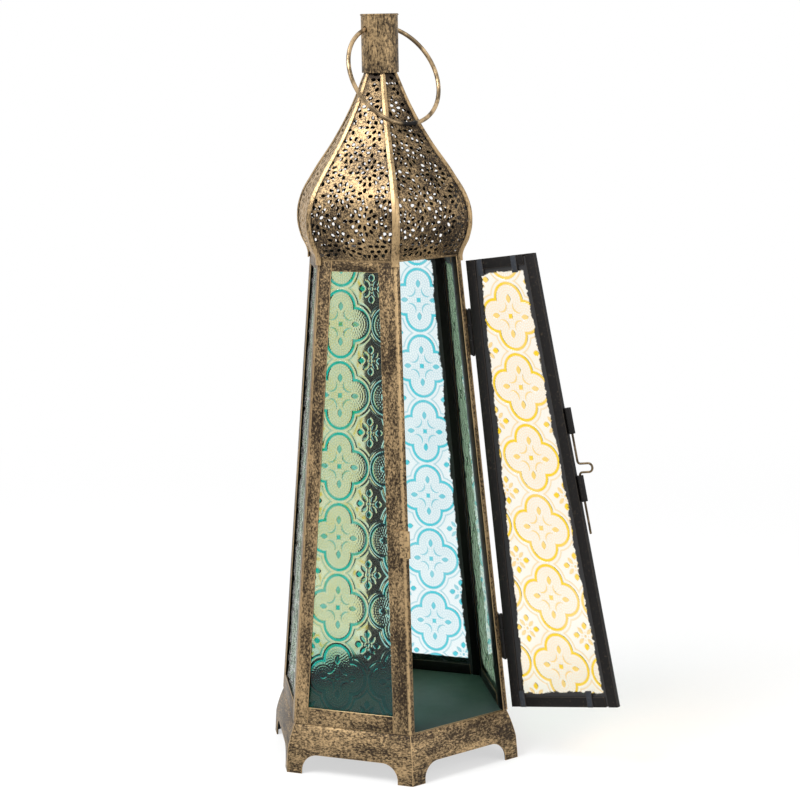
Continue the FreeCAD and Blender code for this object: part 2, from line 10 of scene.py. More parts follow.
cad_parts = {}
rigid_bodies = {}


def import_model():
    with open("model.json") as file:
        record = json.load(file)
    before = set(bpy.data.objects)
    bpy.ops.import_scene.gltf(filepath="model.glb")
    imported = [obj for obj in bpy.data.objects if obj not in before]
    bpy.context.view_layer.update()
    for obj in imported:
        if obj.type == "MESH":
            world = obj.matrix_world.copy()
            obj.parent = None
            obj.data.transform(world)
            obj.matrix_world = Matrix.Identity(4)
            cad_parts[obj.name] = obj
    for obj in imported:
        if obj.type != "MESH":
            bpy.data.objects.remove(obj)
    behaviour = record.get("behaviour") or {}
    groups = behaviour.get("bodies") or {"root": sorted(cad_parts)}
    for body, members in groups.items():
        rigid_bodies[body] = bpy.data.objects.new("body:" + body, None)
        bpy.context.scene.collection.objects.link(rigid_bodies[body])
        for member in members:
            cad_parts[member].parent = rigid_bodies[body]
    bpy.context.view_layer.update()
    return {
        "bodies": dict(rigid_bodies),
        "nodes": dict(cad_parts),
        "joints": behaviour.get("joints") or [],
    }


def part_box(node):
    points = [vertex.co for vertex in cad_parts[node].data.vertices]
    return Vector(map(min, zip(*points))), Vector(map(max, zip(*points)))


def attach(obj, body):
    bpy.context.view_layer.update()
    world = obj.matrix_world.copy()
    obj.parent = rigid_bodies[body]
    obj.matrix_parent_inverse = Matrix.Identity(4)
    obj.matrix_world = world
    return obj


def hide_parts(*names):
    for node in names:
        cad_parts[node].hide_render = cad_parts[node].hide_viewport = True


bl_info = {
    "name": "Pierced candle lantern",
    "version": (1, 0, 0),
    "blender": (4, 5, 0),
    "location": "View3D > Sidebar > Lantern",
    "description": "Pierced dome, pressed coloured glass, brushed brass and studio of a candle lantern",
    "category": "Object",
}

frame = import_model()
NODES = frame["nodes"]

SIDES = 6
STEP = math.tau / SIDES
DOOR_FACE = -math.tau / 4
MM = 0.001
# a face's distance from the axis as a share of its corners', and half its width as a share of that distance
APOTHEM = math.cos(math.pi / SIDES)
SPREAD = math.tan(math.pi / SIDES)


# ---------------------------------------------------------------- sizes and colours a user may change
def length(name, text, default):
    return FloatProperty(name=name, description=text, default=default, min=0, precision=5, subtype="DISTANCE",
                         unit="LENGTH")


def colour(name, text, default):
    return FloatVectorProperty(name=name, description=text, default=default, min=0, max=1, size=3,
                               subtype="COLOR")


def angle(name, text, degrees):
    return FloatProperty(name=name, description=text, default=math.radians(degrees), subtype="ANGLE",
                         unit="ROTATION")


class LanternDome(bpy.types.PropertyGroup):
    sheet: length("Sheet", "Thickness of a pierced gore", 0.4 * MM)
    slot_length: length("Slot length", "Long way of one pierced slot", 2.75 * MM)
    slot_width: length("Slot width", "Short way of one pierced slot", 1.85 * MM)
    ring_pitch: length("Ring pitch", "Distance between the rings of slots round a flower", 3.25 * MM)
    slot_pitch: length("Slot pitch", "Distance between slots along a ring", 2.95 * MM)
    margin: length("Margin", "Plain metal left at a gore's edges", 1.8 * MM)
    flower_pitch: length("Flower pitch", "Distance between the flowers that the rings go round", 25.2 * MM)
    rib_width: length("Rib width", "Width of a seam strip at its foot", 4.1 * MM)
    rib_proud: length("Rib height", "How far a seam strip stands over the corner of the dome", 0.7 * MM)
    rib_sheet: length("Rib thickness", "Thickness of a seam strip", 0.6 * MM)


class LanternGlass(bpy.types.PropertyGroup):
    grid: length("Grid", "Distance between the points that carry the relief", 0.40 * MM)
    relief: length("Relief", "How far the pressed pattern stands out", 0.45 * MM)
    pitch_across: length("Repeat across", "Width of one repeat of the pattern", 32.6 * MM)
    pitch_up: length("Repeat up", "Height of one repeat of the pattern", 35.6 * MM)


# colour of each glass where it is thick and where it is thin; the third is a darker, greener copy of the aqua
# glass for the front left pane, painting the shade and the amber light of what shows through it
STAINS = {"amber": ((1.0, 0.50, 0.0), (1.0, 0.985, 0.90)), "aqua": ((0.01, 0.42, 0.55), (0.92, 0.985, 0.995)),
          "shaded_aqua": ((0.0, 0.34, 0.40), (0.66, 0.80, 0.62)), "green": ((0.02, 0.15, 0.04), (0.58, 0.80, 0.58))}
for stain, colours in STAINS.items():
    for depth, value in zip(("thick", "thin"), colours):
        text = "Colour of the %s glass where it is %s" % (stain, depth)
        LanternGlass.__annotations__[stain + "_" + depth] = colour(stain.title() + ", " + depth, text, value)


class LanternMetal(bpy.types.PropertyGroup):
    gold: colour("Gold", "Colour of the rubbed brass", (0.42, 0.29, 0.15))
    brown: colour("Brown", "Colour of the dark patina", (0.030, 0.021, 0.014))
    black: colour("Black", "Colour of the blackened sheet", (0.008, 0.007, 0.007))
    floor: colour("Floor", "Colour of the paint on the floor plate", (0.040, 0.060, 0.057))
    wire: colour("Wire", "Colour of the ring and the latch wire", (0.42, 0.30, 0.17))
    fold: length("Fold", "Size of the worn edge along a fold", 0.22 * MM)


class LanternStage(bpy.types.PropertyGroup):
    lens: FloatProperty(name="Lens", description="Focal length of the camera", default=99.46, unit="CAMERA")
    distance: length("Distance", "Camera's distance from the lantern's axis", 1.12042)
    height: length("Height", "Camera's height over the floor", 0.37851)
    azimuth: angle("Azimuth", "Where the camera stands round the lantern", -127.474)
    heading: angle("Heading", "Which way the camera looks", 52.185)
    pitch: angle("Pitch", "How far the camera looks down", 9.85)
    roll: angle("Roll", "How far the camera leans", -1.103)
    key: FloatProperty(name="Key lamp", description="Power of the main lamp", default=20.0, unit="POWER")
    fill: FloatProperty(name="Fill lamp", description="Power of the soft lamp", default=7.0, unit="POWER")


# ---------------------------------------------------------------- node trees
def add(tree, kind, inputs=None, **settings):
    """A node with its settings and inputs; an input is a value or another node's socket."""
    node = tree.nodes.new(kind)
    for name, value in settings.items():
        setattr(node, name, value)
    for key, value in (inputs or {}).items():
        socket = node.inputs[key]
        if isinstance(value, bpy.types.NodeSocket):
            tree.links.new(value, socket)
        else:
            socket.default_value = value
    return node


def put(tree, kind, inputs=None, **settings):
    """The first output of a new node."""
    return add(tree, kind, inputs, **settings).outputs[0]


def maths(tree, operation, *values, clamp=False):
    return put(tree, "ShaderNodeMath", dict(enumerate(values)), operation=operation, use_clamp=clamp)


def measure(tree, operation, *vectors):
    """A length, distance or product of vectors."""
    return add(tree, "ShaderNodeVectorMath", dict(enumerate(vectors)), operation=operation).outputs["Value"]


def split(tree, vector):
    return add(tree, "ShaderNodeSeparateXYZ", {"Vector": vector}).outputs


def vector_of(tree, **parts):
    return put(tree, "ShaderNodeCombineXYZ", parts)


def weighted(tree, *parts):
    """The sum of values, each times its weight."""
    total = None
    for value, weight in parts:
        part = maths(tree, "MULTIPLY", value, weight)
        total = part if total is None else maths(tree, "ADD", total, part)
    return total


def smooth_range(tree, value, low, high, start=0.0, stop=1.0):
    limits = {"Value": value, "From Min": low, "From Max": high, "To Min": start, "To Max": stop}
    return put(tree, "ShaderNodeMapRange", limits, interpolation_type="SMOOTHSTEP")


def between(tree, share, low, high):
    return put(tree, "ShaderNodeMapRange", {"Value": share, "To Min": low, "To Max": high})


def mixed(tree, share, first, second):
    node = add(tree, "ShaderNodeMix", data_type="RGBA")
    for index, value in ((0, share), (6, first), (7, second)):
        if isinstance(value, bpy.types.NodeSocket):
            tree.links.new(value, node.inputs[index])
        else:
            node.inputs[index].default_value = value
    return node.outputs[2]


def object_place(tree):
    return add(tree, "ShaderNodeTexCoord").outputs["Object"]


def attribute(tree, name):
    return add(tree, "ShaderNodeAttribute", attribute_name=name).outputs["Fac"]


def noise(tree, scale, detail=3.0, stretch=(1, 1, 1), roughness=0.55):
    stretched = put(tree, "ShaderNodeMapping", {"Vector": object_place(tree), "Scale": stretch})
    return add(tree, "ShaderNodeTexNoise", {"Vector": stretched, "Scale": scale, "Detail": detail,
                                            "Roughness": roughness}).outputs["Fac"]


def new_material(name):
    material = bpy.data.materials.new(name)
    material.use_nodes = True
    material.node_tree.nodes.clear()
    return material, material.node_tree


def finish_tree(tree, shader):
    add(tree, "ShaderNodeOutputMaterial", {"Surface": shader})


def rgba(value, light=1.0):
    return (*[channel * light for channel in value], 1.0)


# ---------------------------------------------------------------- finishes
BRUSH_SCALE = 1500.0
CLOUD_SCALE = 60.0
DUST_SCALE = 700.0
# what the brass's noises add up to where no brass shows and where it all shows
NO_BRASS, ALL_BRASS = 0.66, 0.34
# how far a wire's joint is burnt, fading between two distances, and how ragged that edge is
JOINT_BURNT, JOINT_CLEAN, JOINT_RAGGED = 5 * MM, 8 * MM, 3 * MM
JOINT_BLACK = (0.01, 0.009, 0.009)
# heights between which a pane's colour is painted deeper towards its foot, as painted shade for the dark
# floor plate and rails seen through it
FOOT_SHADE_TOP, FOOT_SHADE_BOTTOM = 78 * MM, 52 * MM
PAINT_BLACK = (0.012, 0.011, 0.012)
PAINT_RAGGED = 3.6 * MM
PAINT_SOFT = 0.3 * MM
DENT = 0.3 * MM


def folded_light(tree, reach):
    """Mask of the rubbed brass and painted highlight on the fold of a corner post: one on the fold, falling
    to zero at that distance inside it.
    """
    parts = split(tree, object_place(tree))
    out = measure(tree, "LENGTH", vector_of(tree, X=parts["X"], Y=parts["Y"]))
    (foot, foot_radius), (head, head_radius) = POST_FOLD
    fold = {"Value": parts["Z"], "From Min": foot, "From Max": head,
            "To Min": foot_radius, "To Max": head_radius}
    corner = put(tree, "ShaderNodeMapRange", fold)
    return smooth_range(tree, maths(tree, "SUBTRACT", corner, out), reach, 0.0)


def brushed_brass(name, metal, share=0.5, streak=(1, 1, 1), stroke=(1, 1, 1), fold=0.0, rough=(0.34, 0.58)):
    """Dark patina with brass rubbed through it, more of it where share is larger, turned back to dark patina
    by painted shade where a gore is marked for it, and black on the inside and, as painted shade, on the
    skirt's upward faces.
    Streak and stroke stretch the fine and the broad marks, and fold is the reach of the rubbed brass and
    painted highlight along a post's corner."""
    material, tree = new_material(name)
    brush = noise(tree, BRUSH_SCALE, 5.0, streak, 0.7)
    grain = noise(tree, BRUSH_SCALE / 2, 3.0, roughness=0.6)
    cloud = noise(tree, CLOUD_SCALE, 4.0, stroke, 0.65)
    rubbed = weighted(tree, (brush, 0.46), (grain, 0.24), (cloud, 0.30))
    middle = NO_BRASS + (ALL_BRASS - NO_BRASS) * share
    mask = smooth_range(tree, rubbed, middle - 0.07, middle + 0.09)
    # rubbed brass along a post's fold, which is also a painted highlight there
    if fold:
        worn = maths(tree, "MULTIPLY", folded_light(tree, fold), smooth_range(tree, grain, 0.35, 0.5))
        mask = maths(tree, "MAXIMUM", mask, worn)
    # painted shade beside the seam strips and under the collar turns the rubbed brass back to dark patina
    unshaded = maths(tree, "SUBTRACT", 1.0, attribute(tree, "grime"))
    tone = mixed(tree, cloud, rgba(metal.gold, 0.75), rgba(metal.gold, 1.2))
    outer = mixed(tree, maths(tree, "MULTIPLY", mask, unshaded), rgba(metal.brown), tone)
    base = mixed(tree, attribute(tree, "inner"), outer, rgba(metal.black))
    dent = put(tree, "ShaderNodeBump", {"Height": rubbed, "Strength": 0.35, "Distance": DENT})
    shine = between(tree, brush, *rough)
    shader = put(tree, "ShaderNodeBsdfPrincipled", {"Base Color": base, "Metallic": 0.7, "Roughness": shine,
                                                    "Specular IOR Level": 0.2, "Normal": dent})
    finish_tree(tree, shader)
    return material


def blackened(name, black, speck, rough=(0.4, 0.65)):
    """Blackened or painted sheet with a little lighter dust and rub."""
    material, tree = new_material(name)
    dust = noise(tree, DUST_SCALE, 5.0, roughness=0.7)
    cloud = noise(tree, CLOUD_SCALE)
    mask = maths(tree, "MULTIPLY", smooth_range(tree, dust, 0.54, 0.74), smooth_range(tree, cloud, 0.3, 0.65))
    base = mixed(tree, mask, rgba(black), rgba(speck))
    dent = put(tree, "ShaderNodeBump", {"Height": dust, "Strength": 0.3, "Distance": DENT})
    shine = between(tree, cloud, *rough)
    shader = put(tree, "ShaderNodeBsdfPrincipled", {"Base Color": base, "Metallic": 0.0, "Roughness": shine,
                                                    "Specular IOR Level": 0.15, "Normal": dent})
    finish_tree(tree, shader)
    return material


def drawn_wire(name, tint, joint=None):
    """Brass wire, burnt dark round the joint where its ends are soldered together."""
    material, tree = new_material(name)
    drawn = noise(tree, 160.0, 4.0)
    base = mixed(tree, smooth_range(tree, drawn, 0.40, 0.62), rgba(tint, 0.35), rgba(tint, 1.15))
    if joint is not None:
        away = measure(tree, "DISTANCE", object_place(tree), joint)
        ragged = maths(tree, "ADD", away, maths(tree, "MULTIPLY", drawn, JOINT_RAGGED))
        burnt = smooth_range(tree, ragged, JOINT_CLEAN, JOINT_BURNT)
        base = mixed(tree, burnt, base, rgba(JOINT_BLACK))
    shine = between(tree, drawn, 0.25, 0.5)
    shader = put(tree, "ShaderNodeBsdfPrincipled", {"Base Color": base, "Metallic": 0.9, "Roughness": shine})
    finish_tree(tree, shader)
    return material


def pressed_glass(name, deep, thin, paint_width, borders, foot_shade_depth=0.0):
    """Coloured glass, deeper where the relief is thick, with black paint spilled over its edges.
    The colour may be painted deeper at the pane's foot, as painted shade."""
    material, tree = new_material(name)
    place = object_place(tree)
    edge = None
    for inward, start in borders:
        here = maths(tree, "SUBTRACT", measure(tree, "DOT_PRODUCT", place, inward), start)
        edge = here if edge is None else maths(tree, "MINIMUM", edge, here)
    cloud = noise(tree, 55.0)
    # painted shade: the colour deepens towards the pane's foot
    foot = smooth_range(tree, split(tree, place)["Z"], FOOT_SHADE_TOP, FOOT_SHADE_BOTTOM, 0.0, foot_shade_depth)
    uneven = maths(tree, "MULTIPLY", maths(tree, "SUBTRACT", cloud, 0.5), 0.2)
    depth = maths(tree, "ADD", maths(tree, "ADD", attribute(tree, "tint"), uneven), foot, clamp=True)
    stain = mixed(tree, depth, rgba(thin), rgba(deep))
    haze = between(tree, attribute(tree, "pressed"), 0.03, 0.12)
    glass = put(tree, "ShaderNodeBsdfPrincipled", {"Base Color": stain, "Roughness": haze, "IOR": 1.38,
                                                   "Specular IOR Level": 0.12, "Transmission Weight": 1.0})
    clear = put(tree, "ShaderNodeBsdfTransparent", {"Color": stain})
    shadow = add(tree, "ShaderNodeLightPath").outputs["Is Shadow Ray"]
    lit = put(tree, "ShaderNodeMixShader", {0: shadow, 1: glass, 2: clear})
    ragged = maths(tree, "ADD", noise(tree, 420.0, 4.0, roughness=0.7), noise(tree, 90.0, 2.0))
    spill = maths(tree, "MULTIPLY", maths(tree, "SUBTRACT", ragged, 1.0), PAINT_RAGGED)
    spilled = maths(tree, "ADD", edge, spill)
    painted = smooth_range(tree, spilled, paint_width + PAINT_SOFT, paint_width - PAINT_SOFT)
    paint = put(tree, "ShaderNodeBsdfPrincipled", {"Base Color": rgba(PAINT_BLACK), "Roughness": 0.55})
    finish_tree(tree, put(tree, "ShaderNodeMixShader", {0: painted, 1: lit, 2: paint}))
    return material


# ---------------------------------------------------------------- mesh helpers
def linked(name, data):
    """A new object in the scene, at the origin."""
    piece = bpy.data.objects.new(name, data)
    bpy.context.scene.collection.objects.link(piece)
    return piece


def mesh_object(name, vertices, faces):
    mesh = bpy.data.meshes.new(name)
    mesh.from_pydata([tuple(v) for v in vertices], [], faces)
    mesh.update()
    return linked(name, mesh)


def bake(piece, name):
    """The piece with its modifiers in its mesh, under a new name."""
    bpy.context.view_layer.update()
    graph = bpy.context.evaluated_depsgraph_get()
    mesh = bpy.data.meshes.new_from_object(piece.evaluated_get(graph))
    mesh.name = name
    return linked(name, mesh)


def discard(*pieces):
    for piece in pieces:
        bpy.data.objects.remove(piece)


def two_finishes(mesh):
    """Give a mesh empty places for the finish of its faces and for that of its worn or cut edges, which also
    carries a painted highlight.
    """
    mesh.materials.clear()
    mesh.materials.append(None)
    mesh.materials.append(None)


def mark(mesh, name, values, domain="POINT", kind="FLOAT"):
    """Write an attribute of the mesh."""
    mesh.attributes.new(name, kind, domain).data.foreach_set("value", values)


def soften(mesh, angle):
    """Smooth shading, with a sharp edge where faces meet at more than the angle."""
    mesh.shade_smooth()
    mesh.set_sharp_from_angle(angle=math.radians(angle))


def merged(mesh):
    """Join a node's loose triangles into whole flat faces."""
    shape = bmesh.new()
    shape.from_mesh(mesh)
    bmesh.ops.remove_doubles(shape, verts=shape.verts, dist=2e-6)
    bmesh.ops.dissolve_limit(shape, angle_limit=math.radians(0.5), verts=shape.verts, edges=shape.edges)
    shape.to_mesh(mesh)
    shape.free()


def outward(mesh):
    shape = bmesh.new()
    shape.from_mesh(mesh)
    bmesh.ops.remove_doubles(shape, verts=shape.verts, dist=1e-6)
    bmesh.ops.recalc_face_normals(shape, faces=shape.faces)
    shape.to_mesh(mesh)
    shape.free()


def turned(piece, name, angle):
    """A copy of a piece, turned round the lantern's axis."""
    mesh = piece.data.copy()
    mesh.name = name
    mesh.transform(Matrix.Rotation(angle, 4, "Z"))
    return linked(name, mesh)


# how far a face's normal turns towards the axis to be black inside, and how far up it turns to take that
# black as painted shade
INWARD = -0.2
SHADED_LEDGE_UP = 0.95


def mark_inside(mesh, shaded_ledges=False):
    """Mark the faces that look towards the lantern's axis, black inside, and, where asked, those that look
    up, which take the same black as painted shade in the gap under the rails.
    """
    flags = [1.0 if face.center.xy.dot(face.normal.xy) < INWARD * face.center.xy.length
             or shaded_ledges and face.normal.z > SHADED_LEDGE_UP else 0.0 for face in mesh.polygons]
    mark(mesh, "inner", flags, "FACE")


# painted shade on the gores: how far it reaches from a seam strip, the height under the collar where it
# starts, and the distance over which it fades
SEAM_SHADE_REACH = 3.2 * MM
NECK_SHADE_HEIGHT = 347 * MM
PAINTED_SHADE_FADE = 1 * MM


def mark_painted_shade(mesh):
    """Mark a gore, still facing along x, for painted shade: beside the seam strips and under the collar."""
    marks = []
    for vertex in mesh.vertices:
        from_seam = SPREAD * vertex.co.x - abs(vertex.co.y)
        seam, neck = (SEAM_SHADE_REACH - from_seam) / PAINTED_SHADE_FADE, (vertex.co.z - NECK_SHADE_HEIGHT) / PAINTED_SHADE_FADE
        marks.append(max(min(seam, 1.0), min(neck, 1.0), 0.0))
    mark(mesh, "grime", marks)


def fit(piece, material, slot_name, body, *nodes, edge=None):
    """Give a finished piece its material and body, and hide the nodes that it stands for. The record slot
    that it is given is not used.
    The faces of its worn edges carry material index 1 and take the edge's own finish, lighter as wear and as
    a painted highlight."""
    marks = [face.material_index for face in piece.data.polygons]
    piece.data.materials.clear()
    piece.data.materials.append(material)
    if edge:
        piece.data.materials.append(edge)
        piece.data.polygons.foreach_set("material_index", marks)
    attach(piece, body)
    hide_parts(*nodes)


def body_of(node):
    for body, empty in frame["bodies"].items():
        if NODES[node].parent == empty:
            return body
    raise RuntimeError("no body holds " + node)


def corners_of(node):
    """The node's separate corner points."""
    points = {tuple(round(c, 6) for c in v.co) for v in NODES[node].data.vertices}
    return [Vector(p) for p in sorted(points, key=lambda p: p[2])]


def polar(angle, radius=1.0, z=0.0):
    return Vector((radius * math.cos(angle), radius * math.sin(angle), z))


def corner_line(node):
    """Height and radius of the lowest and the highest point of a post's fold."""
    points = corners_of(node)
    low = max((p for p in points if p.z < points[0].z + MM), key=lambda p: p.xy.length)
    high = max((p for p in points if p.z > points[-1].z - MM), key=lambda p: p.xy.length)
    return (low.z, low.xy.length), (high.z, high.xy.length)


POST_FOLD = corner_line("post_left")


def closed_line(name, points):
    """A closed curve, straight between the points."""
    curve = bpy.data.curves.new(name, "CURVE")
    curve.dimensions = "3D"
    spline = curve.splines.new("POLY")
    spline.points.add(len(points) - 1)
    for knot, point in zip(spline.points, points):
        knot.co = (*point, 1)
    spline.use_cyclic_u = True
    return linked(name, curve)


def smooth_curve(name, points):
    """A curve through the points, rounded between them."""
    curve = bpy.data.curves.new(name, "CURVE")
    curve.dimensions = "3D"
    curve.resolution_u = 24
    spline = curve.splines.new("BEZIER")
    spline.bezier_points.add(len(points) - 1)
    for knot, point in zip(spline.bezier_points, points):
        knot.co = point
        knot.handle_left_type = knot.handle_right_type = "AUTO"
    return linked(name, curve)


def node_group(name, sockets):
    """A modifier's tree with the given inputs, and the sockets that give them."""
    tree = bpy.data.node_groups.new(name, "GeometryNodeTree")
    tree.is_modifier = True
    for socket, kind in {"Geometry": "Geometry", **sockets, "Finish": "Material"}.items():
        tree.interface.new_socket(socket, in_out="INPUT", socket_type="NodeSocket" + kind)
    tree.interface.new_socket("Geometry", in_out="OUTPUT", socket_type="NodeSocketGeometry")
    return tree, add(tree, "NodeGroupInput").outputs


def finish_group(tree, geometry, finish):
    whole = put(tree, "GeometryNodeRealizeInstances", {"Geometry": geometry})
    done = put(tree, "GeometryNodeSetMaterial", {"Geometry": whole, "Material": finish})
    add(tree, "NodeGroupOutput", {"Geometry": done})


def set_inputs(modifier, **values):
    """Set a node tree's inputs by their identifiers."""
    for socket in modifier.node_group.interface.items_tree:
        key = socket.name.replace(" ", "_").lower()
        if socket.in_out == "INPUT" and key in values:
            modifier[socket.identifier] = values[key]


# ---------------------------------------------------------------- pierced dome
# height and corner radius of the dome in millimetres, from the crown plate to the collar
DOME_OUTLINE = [(260.5, 42.0), (269.0, 45.8), (278.0, 47.4), (288.0, 45.6), (301.0, 38.0), (318.0, 25.6),
                (334.0, 16.0), (352.4, 7.9)]
PROFILE_STEPS = 50
FOOT_STEPS = 16
SLOT_FACETS = 10
SLOT_RINGS = 5
# flowers that lie outside a gore still keep its slots in their own rings
SPARE_ROWS, SPARE_COLUMNS = 2, 3
# how near to the next flower's slots a slot may come, as a share of its width
SLOT_CLEAR = 0.75
FLOWER_ASIDE = -6.3
# for each gore, how much brass is rubbed through and the height of one flower along the sheet in millimetres.
# The rubbed brass also paints light and shade: less on gore 1, the shaded side, and more on gore 2, the lit
# side; gore 3 is much paler.
GORES = {"dome_panel_1": (0.40, 30.6), "dome_panel_2": (0.50, 32.7), "dome_panel_3": (0.80, 30.6),
         "dome_panel_4": (0.45, 30.6), "dome_panel_5": (0.50, 30.6), "dome_panel_6": (0.45, 30.6)}


def flower_slots(across_at, reach, dome, shift):
    """Places and turns of the slots, in rings round flowers on a staggered grid over a flat gore."""
    rise = dome.flower_pitch / 2
    centres = []
    for row in range(-SPARE_ROWS, int(reach / rise) + SPARE_ROWS + 1):
        for column in range(-SPARE_COLUMNS, SPARE_COLUMNS + 1):
            stagger = dome.flower_pitch / 2 if row % 2 else 0
            centres.append(Vector((shift[0] + column * dome.flower_pitch + stagger, shift[1] + row * rise)))
    slots = []
    for centre in centres:
        for ring in range(1, SLOT_RINGS + 1):
            radius = ring * dome.ring_pitch
            count = round(math.tau * radius / dome.slot_pitch)
            for index in range(count):
                angle = math.tau * (index + 0.5 * (ring % 2)) / count
                spot = centre + Vector((math.cos(angle), math.sin(angle))) * radius
                own = (spot - centre).length
                nearest = min((spot - other).length for other in centres if other is not centre)
                if nearest - own < SLOT_CLEAR * dome.slot_width:
                    continue
                if not dome.margin < spot.y < reach - dome.margin:
                    continue
                if abs(spot.x) > across_at(spot.y) - dome.margin:
                    continue
                slots.append((spot, angle))
    return slots


def gore_tree():
    """Flat outline and slots to a pierced sheet, laid on the dome's profile curve."""
    sockets = {"Profile": "Object", "Slot length": "Float", "Slot width": "Float"}
    tree, given = node_group("Pierced gore", sockets)
    is_slot = put(tree, "GeometryNodeInputNamedAttribute", {"Name": "is_slot"}, data_type="BOOLEAN")
    turn = put(tree, "GeometryNodeInputNamedAttribute", {"Name": "turn"}, data_type="FLOAT")
    parted = add(tree, "GeometryNodeSeparateGeometry", {"Geometry": given["Geometry"], "Selection": is_slot},
                 domain="POINT").outputs
    rim = put(tree, "GeometryNodeMeshToCurve", {"Mesh": parted["Inverted"]})
    round_line = put(tree, "GeometryNodeCurvePrimitiveCircle", {"Resolution": SLOT_FACETS, "Radius": 0.5})
    size = vector_of(tree, X=given["Slot length"], Y=given["Slot width"], Z=1.0)
    slot_shape = put(tree, "GeometryNodeTransform", {"Geometry": round_line, "Scale": size})
    aim = vector_of(tree, Z=turn)
    seats = put(tree, "GeometryNodeMeshToPoints", {"Mesh": parted["Selection"]})
    slots = put(tree, "GeometryNodeInstanceOnPoints", {"Points": seats, "Instance": slot_shape,
                                                       "Rotation": aim})
    real = put(tree, "GeometryNodeRealizeInstances", {"Geometry": slots})
    joined = add(tree, "GeometryNodeJoinGeometry")
    tree.links.new(real, joined.inputs[0])
    tree.links.new(rim, joined.inputs[0])
    sheet = put(tree, "GeometryNodeFillCurve", {"Curve": joined.outputs[0]}, mode="TRIANGLES")
    flat = split(tree, put(tree, "GeometryNodeInputPosition"))
    profile = add(tree, "GeometryNodeObjectInfo", {"Object": given["Profile"]}).outputs["Geometry"]
    laid = add(tree, "GeometryNodeSampleCurve", {"Curves": profile, "Length": flat["Y"]}, mode="LENGTH",
               use_all_curves=True).outputs["Position"]
    spot = split(tree, laid)
    bent = vector_of(tree, X=spot["X"], Y=flat["X"], Z=spot["Z"])
    formed = put(tree, "GeometryNodeSetPosition", {"Geometry": sheet, "Position": bent})
    finish_group(tree, formed, given["Finish"])
    return tree


def sample_profile(points):
    """Arc length and radius along the same rounded curve that the sheet is laid on."""
    probe = smooth_curve("probe", points)
    probe.data.splines[0].resolution_u = PROFILE_STEPS
    graph = bpy.context.evaluated_depsgraph_get()
    bpy.context.view_layer.update()
    line = bpy.data.meshes.new_from_object(probe.evaluated_get(graph))
    spots = [v.co.copy() for v in line.vertices]
    discard(probe)
    lengths = [0.0]
    for first, second in zip(spots, spots[1:]):
        lengths.append(lengths[-1] + (second - first).length)
    return lengths, [p.x for p in spots]


def gore_mesh(dome, across_at, reach, shift):
    """Outline vertices joined by edges, and loose vertices for the slots."""
    steps = round(reach / dome.slot_pitch)
    side = [Vector((across_at(reach * k / steps), reach * k / steps, 0)) for k in range(steps + 1)]
    foot = [Vector((side[0].x * (1 - 2 * k / FOOT_STEPS), 0, 0)) for k in range(1, FOOT_STEPS)]
    outline = side[::-1] + foot + [Vector((-p.x, p.y, 0)) for p in side]
    slots = flower_slots(across_at, reach, dome, shift)
    vertices = outline + [Vector((*spot, 0)) for spot, angle in slots]
    edges = [(k, (k + 1) % len(outline)) for k in range(len(outline))]
    mesh = bpy.data.meshes.new("flat gore")
    two_finishes(mesh)
    mesh.from_pydata([tuple(v) for v in vertices], edges, [])
    flags = [False] * len(outline) + [True] * len(slots)
    turns = [0.0] * len(outline) + [angle for spot, angle in slots]
    mark(mesh, "is_slot", flags, kind="BOOLEAN")
    mark(mesh, "turn", turns)
    return mesh


class LANTERN_OT_dome(bpy.types.Operator):
    """Make the six pierced gores of the dome"""
    bl_idname = "lantern.dome"
    bl_label = "Pierced dome"

    def execute(self, context):
        dome = context.scene.lantern_dome
        metal = context.scene.lantern_metal
        points = [Vector((radius * APOTHEM * MM, 0, z * MM)) for z, radius in DOME_OUTLINE]
        profile = smooth_curve("dome profile", points)
        lengths, radii = sample_profile(points)

        def across_at(along):
            return float(np.interp(along, lengths, radii)) * SPREAD

        tree = gore_tree()
        # the slots' cut rims are plain cut brass, made paler still as a painted highlight
        cut_rim_highlight = brushed_brass("cut brass", metal, share=0.9, rough=(0.28, 0.42))
        for side, (node, (share, flower)) in enumerate(GORES.items()):
            number = side + 1
            finish = brushed_brass("pierced brass %d" % number, metal, share=share)
            shift = (FLOWER_ASIDE * MM, flower * MM)
            flat = linked("flat gore", gore_mesh(dome, across_at, lengths[-1], shift))
            laid = flat.modifiers.new("pierced", "NODES")
            laid.node_group = tree
            set_inputs(laid, profile=profile, slot_length=dome.slot_length, slot_width=dome.slot_width,
                       finish=finish)
            wall = flat.modifiers.new("sheet", "SOLIDIFY")
            wall.thickness = dome.sheet
            wall.offset = -1
            # the slots' rims take the cut brass with its painted highlight
            wall.material_offset_rim = 1
            gore = bake(flat, "gore_%d" % number)
            discard(flat)
            if sum((p.center.xy.dot(p.normal.xy) for p in gore.data.polygons)) < 0:
                gore.data.flip_normals()
            mark_painted_shade(gore.data)
            gore.data.transform(Matrix.Rotation(DOOR_FACE - STEP * side, 4, "Z"))
            mark_inside(gore.data)
            soften(gore.data, 50)
            fit(gore, finish, "antique_brass", "lantern", node, edge=cut_rim_highlight)
        discard(profile)
        return {"FINISHED"}


RIB_POINTS = 90
RIB_SECTION_STEPS = 12
RIB_BEND = 0.35 * MM
RIB_HEAD_RADIUS = 8.9 * MM
RIB_HEAD_SHARE = 0.6


